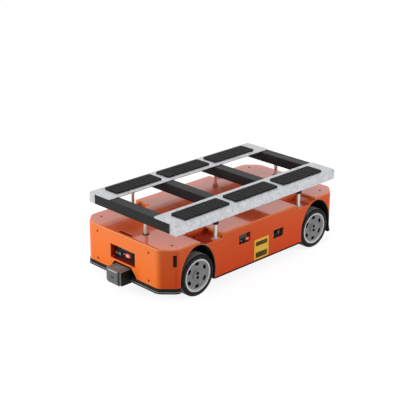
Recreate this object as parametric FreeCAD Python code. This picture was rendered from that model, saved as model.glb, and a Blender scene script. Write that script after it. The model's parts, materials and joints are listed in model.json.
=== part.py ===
import FreeCAD, Part
import math
import os
from FreeCAD import Vector

# Four-wheeled lifting shuttle robot, in millimetres.
# +X is forward, +Y is the robot's left, +Z is up, and the floor is Z = 0.
# The model is laid out from the middle of the wheelbase, and moved on export
# so that the origin is the middle of the footprint.

# Overall sizes
wheelbase = 820
front_overhang = 195
rear_overhang = 177
body_width = 607
deck_height = 268
ground_clearance = 54
corner_radius = 42
corner_cut = 63.5
corner_turn = 45
skirt_rise = 18

# Sheets and clearances
skin = 3
deck_sheet = 3
deck_rim = 10
deck_edge_radius = 5
pan_thickness = 6
seat_gap = 0.3
running_gap = 0.05
button_gap = 0.2
slot_round = 0.45
pick_gap = 0.1

# Wheels
tyre_radius = 102
tyre_width = 58
tyre_wall = 22
tyre_shoulder = 9
sidewall_groove_offset = 10
sidewall_groove = 1.5
hub_rim_width = 10
hub_dish = 8
hub_disc = 5
hub_boss_wall = 11.5
hub_boss_dish = 4
hub_hole_count = 6
hub_hole_inset = 25
hub_hole_length = 26
hub_hole_width = 17
hub_pin_radius = 6
hub_pin_offset = 10.5
hub_bead = 2.5
wheel_inset = 4
arch_inner_gap = 6
arch_outer_gap = 13
arch_lip = 3
liner_wall = 3
well_gap = 31

# Drive train
plate_thickness = 8
plate_deck_gap = 7
plate_end_gap = 24
plate_hole_radius = 42
plate_hole_pitch = 120
axle_radius = 12.5
axle_hole_gap = 7.5
axle_in_hub = 46
axle_in_gearbox = 24
bearing_wall = 13.5
bearing_boss = 14
bearing_flange_rim = 12
bearing_flange = 6
gearbox_pan_gap = 2
gearbox_depth = 28
gearbox_edge = 8
motor_step = 2
motor_middle_gap = 39
motor_cap_step = 8
motor_cap = 10

# Inner boxes
bulkhead_post_gap = 42
bulkhead_thickness = 5
bulkhead_slot = (220, 60)
bay_gap = 20
battery_side_gap = 41
battery_height = 136
battery_rib = 6
battery_rib_count = 5
control_length = 140
control_side_gap = 57
control_height = 90
fin_count = 9
fin_height = 18
fin_thickness = 4

# Lift
lift_stroke = 55
lowered_gap = 8
pad_thickness = 6
load_plate = 4
rail_height = 48
rail_width = 40
rail_wall = 4
rail_inset = 3
beam_width = 60
beam_inner_x = 170
load_plate_width = 150
pad_size = (290, 96)
pad_pitch = 330
pad_inset = 20
pad_groove = 3
pad_groove_count = 8
pad_groove_border = 9
plate_edge_radius = 12
module_hole_radius = 4.5
module_hole_pitch = (840, 330)
post_arch_gap = 12
post_radius = 8.5
post_in_bush = 60
collar_wall = 6
collar_height = 14
bush_wall = 3
bush_side_gap = 1
bush_length = 65
flange_length = 56
flange_width = 30
flange_thickness = 6
bolt_pitch = 38
bolt_radius = 2.5
bolt_head_across = 9
bolt_head = 4
bolt_reach = 14
cylinder_axle_gap = 109
cylinder_offset = 66
cylinder_radius = 27
cylinder_base = (64, 130, 36)
cylinder_deck_gap = 8
cylinder_edge = 6
lift_motor_radius = 24
lift_motor_pitch = 60
lift_motor_deck_gap = 40
rod_radius = 10
rod_in_cylinder = 100
rod_end_gap = 8
seal_radius = 17
seal_height = 3

# Deck pockets
pocket_depth = 23
pocket_lead = 32
pocket_axle_gap = 7
pocket_reach = 111

# Front of the body
notch_bottom_half = 95
notch_top_half = 59
notch_height = 45.5
window_notch_gap = 8
window_half_width = 86
window_height = 71
window_depth = 28
window_radius = 5
recess_wall = 3
panel_plate = 4
lens_arch_gap = 41
lens_width = 17
lens_rim_gap = 16
lens_height = 57
lens_lap = 5
lens_thickness = 4
deck_slot = (8, 86)
deck_slot_inset = 23
screw_radius = 3
screw_head_radius = 5
screw_head = 2
screw_reach = 9
screw_corner_gap = 61
screw_skirt_gap = 22
screw_rim_gap = 21
deck_screw_inset_x = 81
deck_screw_inset_y = 57
pocket_screw_axle_gap = 67
pocket_screw_inset = 11.5

# Controls on the front panel, with heights from the window's lower edge
front_display_y = (-39, 50)
front_display_rise = (48, 64)
display_thickness = 3
front_button_y = 9
front_button_rise = 28
front_button_size = (26, 16)
bezel_y = (-30, 44)
bezel_rise = (14, 42)
bezel_rim = 3
bezel_height = 3
button_proud = 6
button_stem = 10
button_edge = 3
display_edge = 2
socket_y = (-68, -46)
socket_rise = 24
socket_radius = 8
socket_length = 7
socket_bore = 4.5
front_lamp_y = -19
front_lamp_rise = 28
lamp_radius = 3
lamp_height = 3

# Controls on the left side, with heights from the lower edge of the deck's rim
display_recess_x = (68, 147)
display_recess_rise = (-84, -33)
display_recess_depth = 16
side_display_x = (74, 130)
side_display_rise = (-60, -39)
side_button_x = 78
side_button_rise = -71
side_button_size = (18, 11)
side_lamp_x = 117
side_lamp_rise = -74
switch_recess_x = (-167, -94)
switch_recess_rise = (-123, -77)
switch_recess_depth = 12
knob_x = -131
knob_rise = -100
knob_radius = 13
knob_height = 8
knob_grip = (24, 7, 4)
knob_shaft_radius = 5
knob_shaft = 9
switch_lamp_x = -104
switch_lamp_rise = -109

# Plate on the left side, with heights from the pan
side_plate_x = (-59, 42)
side_plate_rise = (6.5, 108.5)
side_plate_thickness = 2
side_plate_radius = 5
side_plate_field = 0.6
side_plate_upper = (74, 96)
side_plate_lower = (13, 41.5)
side_plate_margin = 9.5

# Bumpers
bumper_thickness = 14
bumper_proud = 2
bumper_lip = 9
bumper_lip_proud = 5
bumper_lip_slope = 3
bumper_arch_gap = 2

# Scanner
scanner_reach = 65
scanner_rear_gap = -4
scanner_half_width = 39
scanner_bottom = 42
scanner_top = 114
scanner_edge = 8
scanner_window_half = 35
scanner_window_border = 4
scanner_window_proud = 4
scanner_window_radius = 5
cheek_groove = 3
cheek_thickness = 9
cheek_inset = 1
cheek_setback = 4
bracket_back = 6
bracket_foot = 34
bracket_foot_half = 46
bracket_foot_plate = 5
bumper_bracket_gap = 7

# Worked-out body planes
half_width = body_width / 2
body_front = wheelbase / 2 + front_overhang
body_rear = -wheelbase / 2 - rear_overhang
pan_top = ground_clearance + pan_thickness
rim_bottom = deck_height - deck_rim
skirt_bottom = pan_top + skirt_rise
bumper_inset = bumper_thickness - bumper_proud
scanner_front = body_front + scanner_reach
footprint_rear = body_rear - bumper_lip_proud
footprint_shift = -(scanner_front + footprint_rear) / 2

# Worked-out wheels and arches
axle_x = wheelbase / 2
axle_z = tyre_radius
hub_radius = tyre_radius - tyre_wall
hub_boss_radius = axle_radius + hub_boss_wall
arch_x = axle_x + (arch_outer_gap - arch_inner_gap) / 2
arch_half = tyre_radius + (arch_outer_gap + arch_inner_gap) / 2
arch_height = rim_bottom - arch_lip - axle_z
bumper_end = arch_x + arch_half + bumper_arch_gap
wheel_face = half_width - wheel_inset
well_wall = wheel_face - tyre_width - well_gap

# Worked-out posts, pockets and lift
post_x = arch_x - arch_half - post_arch_gap
bush_radius = post_radius + bush_wall
post_y = half_width - skin - bush_side_gap - bush_radius
pocket_start = post_x - pocket_lead
pocket_end = axle_x - pocket_axle_gap
pocket_floor = deck_height - pocket_depth
pocket_inner = half_width - pocket_reach
panel_end = pocket_end + deck_sheet
cylinder_x = axle_x + cylinder_axle_gap
rail_outer = half_width - rail_inset
rail_bottom = deck_height + seal_height + lowered_gap + lift_stroke
rail_top = rail_bottom + rail_height
rail_length = 2 * cylinder_x + beam_width
load_height = rail_top + load_plate + pad_thickness

# Worked-out drive train and bay
plate_outer = well_wall - liner_wall
plate_inner = plate_outer - plate_thickness
plate_top = pocket_floor - deck_sheet - plate_deck_gap
axle_hole_radius = axle_radius + axle_hole_gap
bearing_boss_radius = axle_radius + bearing_wall
bearing_flange_radius = bearing_boss_radius + bearing_flange_rim
gearbox_side = 2 * (axle_z - pan_top - gearbox_pan_gap)
motor_radius = gearbox_side / 2 - motor_step
motor_length = plate_inner - gearbox_depth - motor_cap - motor_middle_gap
bulkhead_x = post_x - bulkhead_post_gap
bay_end = bulkhead_x - bulkhead_thickness / 2 - bay_gap
control_x = (bay_end - control_length, bay_end)
battery_x = (-bay_end, control_x[0] - bay_gap)
battery_width = 2 * (plate_inner - battery_side_gap - battery_rib)
control_width = 2 * (plate_inner - control_side_gap)

# Worked-out recesses and screws
cheek_outer = scanner_half_width + cheek_groove + cheek_thickness
window_plane = body_front - window_depth
notch_top = skirt_bottom + notch_height
window_bottom = notch_top + window_notch_gap
window_top = window_bottom + window_height
lens_top = rim_bottom - lens_rim_gap
lens_bottom = lens_top - lens_height
screw_half_span = half_width - corner_cut - screw_corner_gap
screw_low = skirt_bottom + screw_skirt_gap
screw_high = rim_bottom - screw_rim_gap
display_plane = half_width - display_recess_depth
switch_plane = half_width - switch_recess_depth
front_display_z = tuple(window_bottom + rise for rise in front_display_rise)
bezel_z = tuple(window_bottom + rise for rise in bezel_rise)
front_button_z = window_bottom + front_button_rise
display_recess_z = tuple(rim_bottom + rise for rise in display_recess_rise)
side_display_z = tuple(rim_bottom + rise for rise in side_display_rise)
side_button_z = rim_bottom + side_button_rise
switch_recess_z = tuple(rim_bottom + rise for rise in switch_recess_rise)
knob_z = rim_bottom + knob_rise
side_plate_z = tuple(pan_top + rise for rise in side_plate_rise)

AXES = {"x": Vector(1, 0, 0), "y": Vector(0, 1, 0), "z": Vector(0, 0, 1)}
CORNERS = {"fl": (1, 1), "fr": (1, -1), "rl": (-1, 1), "rr": (-1, -1)}


def block(x, y, z):
    """Box between two values on each axis."""
    size = (x[1] - x[0], y[1] - y[0], z[1] - z[0])
    return Part.makeBox(*size, Vector(x[0], y[0], z[0]))


def about(middle, length):
    """Two values, half a length on each side of a middle."""
    return (middle - length / 2, middle + length / 2)


def cylinder(axis, start, length, radius):
    """Cylinder from a start point along one axis."""
    return Part.makeCylinder(radius, length, Vector(*start), AXES[axis])


def edges_along(solid, axis):
    """The straight edges of a prism that run along one axis."""
    way = AXES[axis]
    return [e for e in solid.Edges if abs(e.tangentAt(e.FirstParameter).dot(way)) > 1 - pick_gap]


def rounded(solid, axis, radius):
    """Fillet the straight edges of a box that run along one axis."""
    return solid.makeFillet(radius, edges_along(solid, axis))


def rounded_top(solid, radius):
    """Fillet the edges round the top of an upright prism."""
    top = solid.BoundBox.ZMax
    edges = [e for e in solid.Edges if e.BoundBox.ZMin > top - pick_gap]
    return solid.makeFillet(radius, edges)


def mirrored(solid, axis):
    """Copy on the other side of the middle plane across one axis."""
    return solid.mirror(Vector(0, 0, 0), AXES[axis])


def turned(solid):
    """Copy on the opposite end and side of the robot."""
    return mirrored(mirrored(solid, "x"), "y")


def at_corner(solid, corner):
    """Move a front-left piece to another corner of the robot."""
    forward, left = CORNERS[corner]
    if forward < 0:
        solid = mirrored(solid, "x")
    if left < 0:
        solid = mirrored(solid, "y")
    return solid


def at_all_corners(solid):
    """The front-left piece and its three mirrored copies."""
    return [at_corner(solid, corner) for corner in CORNERS]


def plan_prism(inset, z):
    """Prism on the body's outline, with cut and rounded corners, moved in by an inset."""
    x = (body_rear + inset, body_front - inset)
    y = (inset - half_width, half_width - inset)
    solid = block(x, y, z)
    solid = solid.makeChamfer(corner_cut - inset * (2 - math.sqrt(2)), edges_along(solid, "z"))
    return rounded(solid, "z", corner_radius - inset)


def plan_ring(outer_inset, inner_inset, z):
    """Upright wall that follows the body's outline."""
    return plan_prism(outer_inset, z).cut(plan_prism(inner_inset, z))


def arch_prism(grow, y):
    """Elliptical prism of the front wheel arch, larger by grow."""
    centre = Vector(arch_x, y[0], axle_z)
    across = (arch_half + grow, Vector(1, 0, 0))
    upward = (arch_height + grow, Vector(0, 0, 1))
    small, large = sorted((across, upward), key=lambda half: half[0])
    curve = Part.Ellipse(centre + large[1] * large[0], centre + small[1] * small[0], centre)
    face = Part.Face(Part.Wire(curve.toShape()))
    return face.extrude(Vector(0, y[1] - y[0], 0))


def arch_cuts():
    """All four wheel arches as cutting prisms through the body's sides."""
    return at_all_corners(arch_prism(0, (plate_outer, half_width + skin)))


def revolved(points):
    """Solid turned about the Y axis from (radius, y) points."""
    wire = Part.makePolygon([Vector(r, y, 0) for r, y in points + points[:1]])
    return Part.Face(wire).revolve(Vector(0, 0, 0), AXES["y"], 360)


def ring_about_y(outer, inner, y):
    """Ring on the Y axis."""
    start = (0, y[0], 0)
    length = y[1] - y[0]
    return cylinder("y", start, length, outer).cut(cylinder("y", start, length, inner))


def floor_pan():
    """Base plate with a cut-out under each wheel well, set back behind the bumpers."""
    drop = (pan_top - axle_z) / (arch_height - liner_wall)
    half_cut = (arch_half - liner_wall - seat_gap) * math.sqrt(1 - drop ** 2)
    z = (ground_clearance, pan_top)
    well = block(about(arch_x, 2 * half_cut), (well_wall, half_width), z)
    ends = plan_ring(0, bumper_inset + seat_gap, z)
    ends = ends.cut(block((-bumper_end, bumper_end), (-half_width, half_width), z))
    return plan_prism(0, z).cut(at_all_corners(well) + [ends])


def chassis_plate():
    """Left long plate that carries the drives, with lightening holes."""
    x = (body_rear + plate_end_gap, body_front - plate_end_gap)
    plate = block(x, (plate_inner, plate_outer), (pan_top, plate_top))
    middle = (pan_top + plate_top) / 2
    holes = [cylinder("y", (i * plate_hole_pitch, plate_inner, middle), plate_thickness,
                      plate_hole_radius) for i in (-1, 0, 1)]
    holes += [cylinder("y", (side * axle_x, plate_inner, axle_z), plate_thickness,
                       axle_hole_radius) for side in (-1, 1)]
    return plate.cut(holes)


def bulkhead():
    """Front cross plate between the two chassis plates."""
    x = about(bulkhead_x, bulkhead_thickness)
    plate = block(x, (-plate_inner, plate_inner), (pan_top, plate_top))
    middle = (pan_top + plate_top) / 2
    slot = block(x, about(0, bulkhead_slot[0]), about(middle, bulkhead_slot[1]))
    return plate.cut(rounded(slot, "x", bulkhead_slot[1] * slot_round))


def end_cover(x):
    """Wrap-round end cover between two X planes, open over the arches."""
    z = (skirt_bottom, rim_bottom)
    wall = plan_ring(0, skin, z).common(block(x, (-half_width, half_width), z))
    return wall.cut(arch_cuts())


def cover_screw_places():
    """Y and Z of the four screws on an end cover."""
    return [(side * screw_half_span, z) for side in (-1, 1) for z in (screw_low, screw_high)]


def lens_place():
    """X and Y of the lens on the cut face of the corner, clear of the wheel arch."""
    rise = (lens_bottom - lens_lap - axle_z) / arch_height
    x = arch_x + arch_half * math.sqrt(1 - rise ** 2) + lens_arch_gap
    return (x, body_front + half_width - corner_cut - x)


def lens_prism(width_lap, height_lap):
    """Upright slot through the front left corner, square to its cut face."""
    width = lens_width + 2 * width_lap
    z = (lens_bottom - height_lap, lens_top + height_lap)
    slot = block(about(0, corner_cut), about(0, width), z)
    slot.rotate(Vector(0, 0, 0), AXES["z"], corner_turn)
    slot.translate(Vector(*lens_place(), 0))
    return slot


def front_window(grow, depth):
    """Rounded block of the front recess."""
    y = (-window_half_width - grow, window_half_width + grow)
    z = (window_bottom - grow, window_top + grow)
    return rounded(block((body_front - depth, body_front), y, z), "x", window_radius + grow)


def front_cover():
    """Front cover with control recess, scanner notch and lens slots."""
    cover = end_cover((panel_end, body_front))
    cover = cover.fuse(front_window(recess_wall, window_depth)).cut(front_window(0, window_depth))
    front = body_front - skin
    low = skirt_bottom
    outline = [Vector(front, -notch_bottom_half, low), Vector(front, notch_bottom_half, low),
               Vector(front, notch_top_half, notch_top), Vector(front, -notch_top_half, notch_top)]
    notch = Part.Face(Part.makePolygon(outline + outline[:1])).extrude(Vector(skin, 0, 0))
    slot = lens_prism(0, 0)
    cuts = [notch, slot, mirrored(slot, "y")]
    cuts += [cylinder("x", (front, y, z), skin, screw_radius) for y, z in cover_screw_places()]
    return cover.cut(cuts).removeSplitter()


def rear_cover():
    """Plain rear cover, held by four screws."""
    cover = end_cover((body_rear, -panel_end))
    holes = [cylinder("x", (body_rear, y, z), skin, screw_radius) for y, z in cover_screw_places()]
    return cover.cut(holes)


def side_recess(x, z, depth, grow):
    """Rounded block of a recess in the left side."""
    x = (x[0] - grow, x[1] + grow)
    z = (z[0] - grow, z[1] + grow)
    solid = block(x, (half_width - depth, half_width), z)
    return rounded(solid, "y", window_radius + grow)


def plain_side():
    """Left side panel between the arches, lower under the deck pockets."""
    x = (-panel_end, panel_end)
    panel = block(x, (half_width - skin, half_width), (pan_top, rim_bottom))
    pocket = block((pocket_start - deck_sheet, panel_end), (half_width - skin, half_width),
                   (pocket_floor - deck_sheet, rim_bottom))
    return panel.cut(arch_cuts() + [pocket, mirrored(pocket, "x")])


def side_panel_left():
    """Left side panel with the display and switch recesses."""
    panel = plain_side()
    recesses = [(display_recess_x, display_recess_z, display_recess_depth),
                (switch_recess_x, switch_recess_z, switch_recess_depth)]
    for place in recesses:
        panel = panel.fuse(side_recess(*place, recess_wall)).cut(side_recess(*place, 0))
    return panel.removeSplitter()


def deck_cover():
    """Deck sheet with rim, corner pockets, rod holes and the front slot."""
    low = pocket_floor - deck_sheet
    envelope = rounded_top(plan_prism(0, (low, deck_height)), deck_edge_radius)
    sheet = plan_prism(0, (rim_bottom, deck_height))
    sheet = sheet.cut(plan_prism(skin, (rim_bottom, deck_height - deck_sheet)))
    through = (pocket_inner - deck_sheet, half_width + deck_sheet)
    shell = block((pocket_start - deck_sheet, panel_end), (through[0], half_width), (low, deck_height))
    shell = shell.cut(arch_prism(0, through))
    space = block((pocket_start, pocket_end), (pocket_inner, through[1]), (pocket_floor, deck_height))
    space = space.cut(arch_prism(deck_sheet, through))
    deck = sheet.fuse(at_all_corners(shell)).cut(at_all_corners(space)).common(envelope)
    post_hole = cylinder("z", (post_x, post_y, low), deck_sheet, bush_radius + seat_gap)
    bolt_holes = [cylinder("z", (post_x + side * bolt_pitch / 2, post_y, low), deck_sheet,
                           bolt_radius + button_gap) for side in (-1, 1)]
    cuts = at_all_corners(post_hole)
    for hole in bolt_holes:
        cuts += at_all_corners(hole)
    under = deck_height - deck_sheet
    cuts += [cylinder("z", (side * cylinder_x, side * cylinder_offset, under), deck_sheet, rod_radius + skin)
             for side in (-1, 1)]
    slot_x = about(body_front - deck_slot_inset, deck_slot[0])
    slot = block(slot_x, about(0, deck_slot[1]), (under, deck_height))
    cuts.append(rounded(slot, "z", deck_slot[0] * slot_round))
    cuts += [cylinder("z", (x, y, under), deck_sheet, screw_radius + button_gap)
             for x, y in deck_screw_places()]
    pocket_hole = cylinder("z", (*pocket_screw_place(), low), deck_sheet, screw_radius + button_gap)
    return deck.cut(cuts + at_all_corners(pocket_hole)).removeSplitter()


def deck_screw_places():
    """X and Y of the four deck screws."""
    y = half_width - deck_screw_inset_y
    ends = (body_front - deck_screw_inset_x, body_rear + deck_screw_inset_x)
    return [(x, side * y) for x in ends for side in (-1, 1)]


def pocket_screw_place():
    """X and Y of the screw in the front left pocket."""
    return (axle_x - pocket_screw_axle_gap, pocket_inner + pocket_screw_inset)


def bumper(x, gap_half):
    """Rubber strip under one end cover, with a lower lip that slopes outward."""
    z = (ground_clearance, skirt_bottom)
    lip_z = (z[0], z[0] + bumper_lip)
    lip = plan_prism(-bumper_lip_proud, lip_z)
    upper = [e for e in lip.Edges if e.BoundBox.ZMin > lip_z[1] - pick_gap]
    lip = lip.makeChamfer(bumper_lip_slope, upper).cut(plan_prism(bumper_inset, lip_z))
    strip = plan_ring(-bumper_proud, bumper_inset, z).fuse(lip).removeSplitter()
    reach = half_width + bumper_lip_proud
    if gap_half:
        sides = [block(x, (gap_half, reach), z), block(x, (-reach, -gap_half), z)]
    else:
        sides = [block(x, (-reach, reach), z)]
    return Part.makeCompound([strip.common(side).Solids[0] for side in sides])


def wheel_liner():
    """Front left wheel-arch liner: a half-round shell with an inner wall."""
    y = (plate_outer, half_width - skin)
    shell = arch_prism(-seat_gap, y)
    shell = shell.cut(arch_prism(-seat_gap - liner_wall, (well_wall, half_width)))
    shell = shell.common(block((0, body_front), (0, half_width), (pan_top, deck_height)))
    shell = shell.common(plan_prism(skin + seat_gap, (pan_top, deck_height)))
    return shell.cut(cylinder("y", (axle_x, plate_outer, axle_z), liner_wall, axle_hole_radius))


def tyre():
    """Tyre on the Y axis, its outer side at Y = 0."""
    solid = ring_about_y(tyre_radius, hub_radius + running_gap, (-tyre_width, 0))
    shoulders = [e for e in solid.Edges if abs(e.BoundBox.ZMax - tyre_radius) < pick_gap
                 and e.BoundBox.YLength < pick_gap]
    wall_left = tyre_wall - sidewall_groove_offset - 2 * sidewall_groove
    solid = solid.makeFillet(min(tyre_shoulder, wall_left), shoulders)
    groove_radius = hub_radius + sidewall_groove_offset
    return solid.cut(ring_about_y(groove_radius + sidewall_groove, groove_radius, (-sidewall_groove, 0)))


def wheel_hub():
    """Wheel hub on the Y axis: rim ring, dished disc with holes, and boss."""
    ring = hub_radius - hub_rim_width
    back = -tyre_width + hub_bead
    disc_back = -hub_dish - hub_disc
    boss_back = bearing_flange + bearing_boss + hub_bead - tyre_width - well_gap
    profile = [(0, -hub_boss_dish), (hub_boss_radius, -hub_boss_dish), (hub_boss_radius, -hub_dish),
               (ring, -hub_dish), (ring + hub_bead, -hub_bead / 2),
               (hub_radius - hub_bead, -hub_bead / 2), (hub_radius, -hub_bead), (hub_radius, back),
               (ring + hub_bead, back), (ring + hub_bead, disc_back), (hub_boss_radius, disc_back),
               (hub_boss_radius, boss_back), (0, boss_back)]
    solid = revolved(profile)
    slot = block(about(0, hub_hole_length), (disc_back, -hub_dish),
                 about(hub_radius - hub_hole_inset, hub_hole_width))
    slot = rounded(slot, "y", hub_hole_width * slot_round)
    cuts = []
    for i in range(hub_hole_count):
        hole = slot.copy()
        hole.rotate(Vector(0, 0, 0), AXES["y"], i * 360 / hub_hole_count)
        cuts.append(hole)
    cuts += [cylinder("y", (0, -hub_dish, side * hub_pin_offset), hub_dish, hub_pin_radius)
             for side in (-1, 1)]
    bore = axle_in_hub + running_gap
    cuts.append(cylinder("y", (0, boss_back, 0), bore, axle_radius + running_gap))
    return solid.cut(cuts)


def axle():
    """Axle on the Y axis, from the gearbox into the hub's blind bore."""
    boss_back = bearing_flange + bearing_boss + hub_bead - tyre_width - well_gap
    start = plate_inner - axle_in_gearbox - wheel_face
    return cylinder("y", (0, start, 0), boss_back + axle_in_hub - start, axle_radius)


def on_wheel(solid, corner):
    """Place a wheel piece, drawn on the Y axis, at one wheel."""
    placed = solid.copy()
    placed.translate(Vector(axle_x, wheel_face, axle_z))
    return at_corner(placed, corner)


def axle_bearing():
    """Front left flange bearing on the wall of the wheel well."""
    flange = cylinder("y", (axle_x, well_wall, axle_z), bearing_flange, bearing_flange_radius)
    boss = cylinder("y", (axle_x, well_wall, axle_z), bearing_flange + bearing_boss,
                    bearing_boss_radius)
    bore = cylinder("y", (axle_x, well_wall, axle_z), bearing_flange + bearing_boss,
                    axle_radius + running_gap)
    return flange.fuse(boss).removeSplitter().cut(bore)


def drive_motor():
    """Front left gear motor, bolted to the inner face of the chassis plate."""
    gearbox = block(about(axle_x, gearbox_side), (plate_inner - gearbox_depth, plate_inner),
                    about(axle_z, gearbox_side))
    gearbox = rounded(gearbox, "y", gearbox_edge)
    motor_end = plate_inner - gearbox_depth - motor_length
    can = cylinder("y", (axle_x, motor_end, axle_z), motor_length, motor_radius)
    cap = cylinder("y", (axle_x, motor_end - motor_cap, axle_z), motor_cap, motor_radius - motor_cap_step)
    bore = cylinder("y", (axle_x, plate_inner - axle_in_gearbox - running_gap, axle_z),
                    axle_in_gearbox + running_gap, axle_radius + running_gap)
    return gearbox.fuse([can, cap]).removeSplitter().cut(bore)


def battery_pack():
    """Battery case with upright ribs on its long sides."""
    z = (pan_top, pan_top + battery_height)
    case = rounded(block(battery_x, about(0, battery_width), z), "z", battery_rib)
    step = (battery_x[1] - battery_x[0]) / (battery_rib_count + 1)
    ribs = [block(about(battery_x[0] + (i + 1) * step, battery_rib),
                  about(0, battery_width + 2 * battery_rib), (z[0], z[1] - battery_rib))
            for i in range(battery_rib_count)]
    return case.fuse(ribs).removeSplitter()


def control_unit():
    """Control box with a row of cooling fins on its lid."""
    z = (pan_top, pan_top + control_height)
    case = rounded(block(control_x, about(0, control_width), z), "z", fin_thickness)
    pitch = (control_width - fin_thickness) / (fin_count + 1)
    fin_x = (control_x[0] + 2 * fin_thickness, control_x[1] - 2 * fin_thickness)
    fins = [block(fin_x, about((i - (fin_count - 1) / 2) * pitch, fin_thickness),
                  (z[1], z[1] + fin_height)) for i in range(fin_count)]
    return case.fuse(fins).removeSplitter()


def guide_bush():
    """Front left guide bush: tube under a two-bolt flange."""
    z = (pocket_floor, pocket_floor + flange_thickness)
    flange = block(about(post_x, flange_length), about(post_y, flange_width), z)
    flange = rounded(flange, "z", flange_width * slot_round)
    tube = cylinder("z", (post_x, post_y, pocket_floor - bush_length), bush_length, bush_radius)
    height = bush_length + flange_thickness
    cuts = [cylinder("z", (post_x, post_y, pocket_floor - bush_length), height,
                     post_radius + running_gap)]
    cuts += [cylinder("z", (x, post_y, z[0]), flange_thickness, bolt_radius + button_gap)
             for x in bolt_places()]
    return flange.fuse(tube).removeSplitter().cut(cuts)


def bolt_places():
    """X of the two bolts on a front guide bush."""
    return about(post_x, bolt_pitch)


def hexagon(centre, across, height):
    """Upright hexagonal prism of a given width across its flats."""
    reach = across / math.sqrt(3)
    turns = [math.radians(60 * i) for i in range(7)]
    corners = [Vector(*centre) + Vector(math.cos(turn), math.sin(turn), 0) * reach for turn in turns]
    return Part.Face(Part.makePolygon(corners)).extrude(Vector(0, 0, height))


def bush_bolt(x):
    """Hexagon flange bolt of a front left guide bush."""
    seat = pocket_floor + flange_thickness
    head = hexagon((x, post_y, seat), bolt_head_across, bolt_head)
    shank = cylinder("z", (x, post_y, seat - bolt_reach), bolt_reach, bolt_radius)
    return head.fuse(shank).removeSplitter()


def guide_post():
    """Front left guide post, from inside its bush to the rail."""
    start = pocket_floor - post_in_bush
    return cylinder("z", (post_x, post_y, start), rail_bottom - start, post_radius)


def post_collar():
    """Front left collar that fixes the post under the rail."""
    base = (post_x, post_y, rail_bottom - collar_height)
    collar = cylinder("z", base, collar_height, post_radius + collar_wall)
    return collar.cut(cylinder("z", base, collar_height, post_radius + running_gap))


def lift_cylinder():
    """Front lift cylinder with its motor beside it on one base."""
    length, width, height = cylinder_base
    top = deck_height - deck_sheet - cylinder_deck_gap
    base_y = about(cylinder_offset + lift_motor_pitch / 2, width)
    base = block(about(cylinder_x, length), base_y, (pan_top, pan_top + height))
    tube = cylinder("z", (cylinder_x, cylinder_offset, pan_top), top - pan_top, cylinder_radius)
    motor_top = deck_height - deck_sheet - lift_motor_deck_gap
    motor_y = cylinder_offset + lift_motor_pitch
    motor = cylinder("z", (cylinder_x, motor_y, pan_top), motor_top - pan_top, lift_motor_radius)
    floor = rail_bottom - rod_length() - lift_stroke - rod_end_gap
    bore = cylinder("z", (cylinder_x, cylinder_offset, floor), top - floor, rod_radius + running_gap)
    return rounded(base, "z", cylinder_edge).fuse([tube, motor]).removeSplitter().cut(bore)


def rod_length():
    """Length of a lift rod, from inside the cylinder to its cross beam."""
    return rail_bottom - (deck_height - rod_in_cylinder)


def lift_rod():
    """Front lift rod."""
    start = rail_bottom - rod_length()
    return cylinder("z", (cylinder_x, cylinder_offset, start), rod_length(), rod_radius)


def rod_seal():
    """Front rod seal on the deck."""
    base = (cylinder_x, cylinder_offset, deck_height)
    ring = cylinder("z", base, seal_height, seal_radius)
    rim = [e for e in ring.Edges if e.BoundBox.ZMin > deck_height + seal_height - pick_gap]
    ring = ring.makeChamfer(seal_height / 2, rim)
    return ring.cut(cylinder("z", base, seal_height, rod_radius + running_gap))


def box_tube(axis, x, y, z):
    """Closed box section along one axis, hollow inside."""
    hollow = [(span[0] + rail_wall, span[1] - rail_wall) for span in (x, y, z)]
    return rounded(block(x, y, z), axis, rail_wall / 2).cut(block(*hollow))


def lift_rail():
    """Left long rail of the lift frame."""
    y = (rail_outer - rail_width, rail_outer)
    return box_tube("x", about(0, rail_length), y, (rail_bottom, rail_top))


def cross_beams():
    """Cross beams between the rails, two of them over the lift rods."""
    reach = rail_outer - rail_width
    places = (-cylinder_x, -beam_inner_x, beam_inner_x, cylinder_x)
    z = (rail_bottom, rail_top)
    return [box_tube("y", about(x, beam_width), (-reach, reach), z) for x in places]


def load_sheet():
    """Left load plate on the rail and beams."""
    y = (rail_outer - load_plate_width, rail_outer)
    sheet = block(about(0, rail_length), y, (rail_top, rail_top + load_plate))
    hole_x, hole_y = module_hole_pitch
    holes = [cylinder("z", (x, hole_y / 2, rail_top), load_plate, module_hole_radius)
             for x in about(0, hole_x)]
    return rounded(sheet, "z", plate_edge_radius).cut(holes)


def load_pads():
    """Rubber pads on the left load plate, with cross grooves."""
    length, width = pad_size
    z = (rail_top + load_plate, load_height)
    y = (rail_outer - pad_inset - width, rail_outer - pad_inset)
    pads = []
    for i in (-1, 0, 1):
        middle = i * pad_pitch
        pad = rounded(block(about(middle, length), y, z), "z", pad_inset / 2)
        step = length / (pad_groove_count + 1)
        for groove in range(pad_groove_count):
            x = about(middle - length / 2 + (groove + 1) * step, pad_groove)
            groove_y = (y[0] + pad_groove_border, y[1] - pad_groove_border)
            pad = pad.cut(block(x, groove_y, (load_height - pad_groove, load_height)))
        pads.append(pad)
    return pads


def front_panel():
    """Plate behind the front recess, with the raised bezel of the button."""
    y = (-window_half_width - recess_wall, window_half_width + recess_wall)
    z = (window_bottom - recess_wall, window_top + recess_wall)
    plate = block((window_plane - panel_plate, window_plane), y, z)
    bezel_x = (window_plane, window_plane + bezel_height)
    outer = rounded(block(bezel_x, bezel_y, bezel_z), "x", 2 * bezel_rim)
    field_y = (bezel_y[0] + bezel_rim, bezel_y[1] - bezel_rim)
    field_z = (bezel_z[0] + bezel_rim, bezel_z[1] - bezel_rim)
    field = rounded(block(bezel_x, field_y, field_z), "x", bezel_rim)
    width, height = front_button_size
    hole = block((window_plane - panel_plate, window_plane), about(front_button_y, width + 2 * button_gap),
                 about(front_button_z, height + 2 * button_gap))
    return plate.fuse(outer).cut([field, hole]).removeSplitter()


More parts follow.
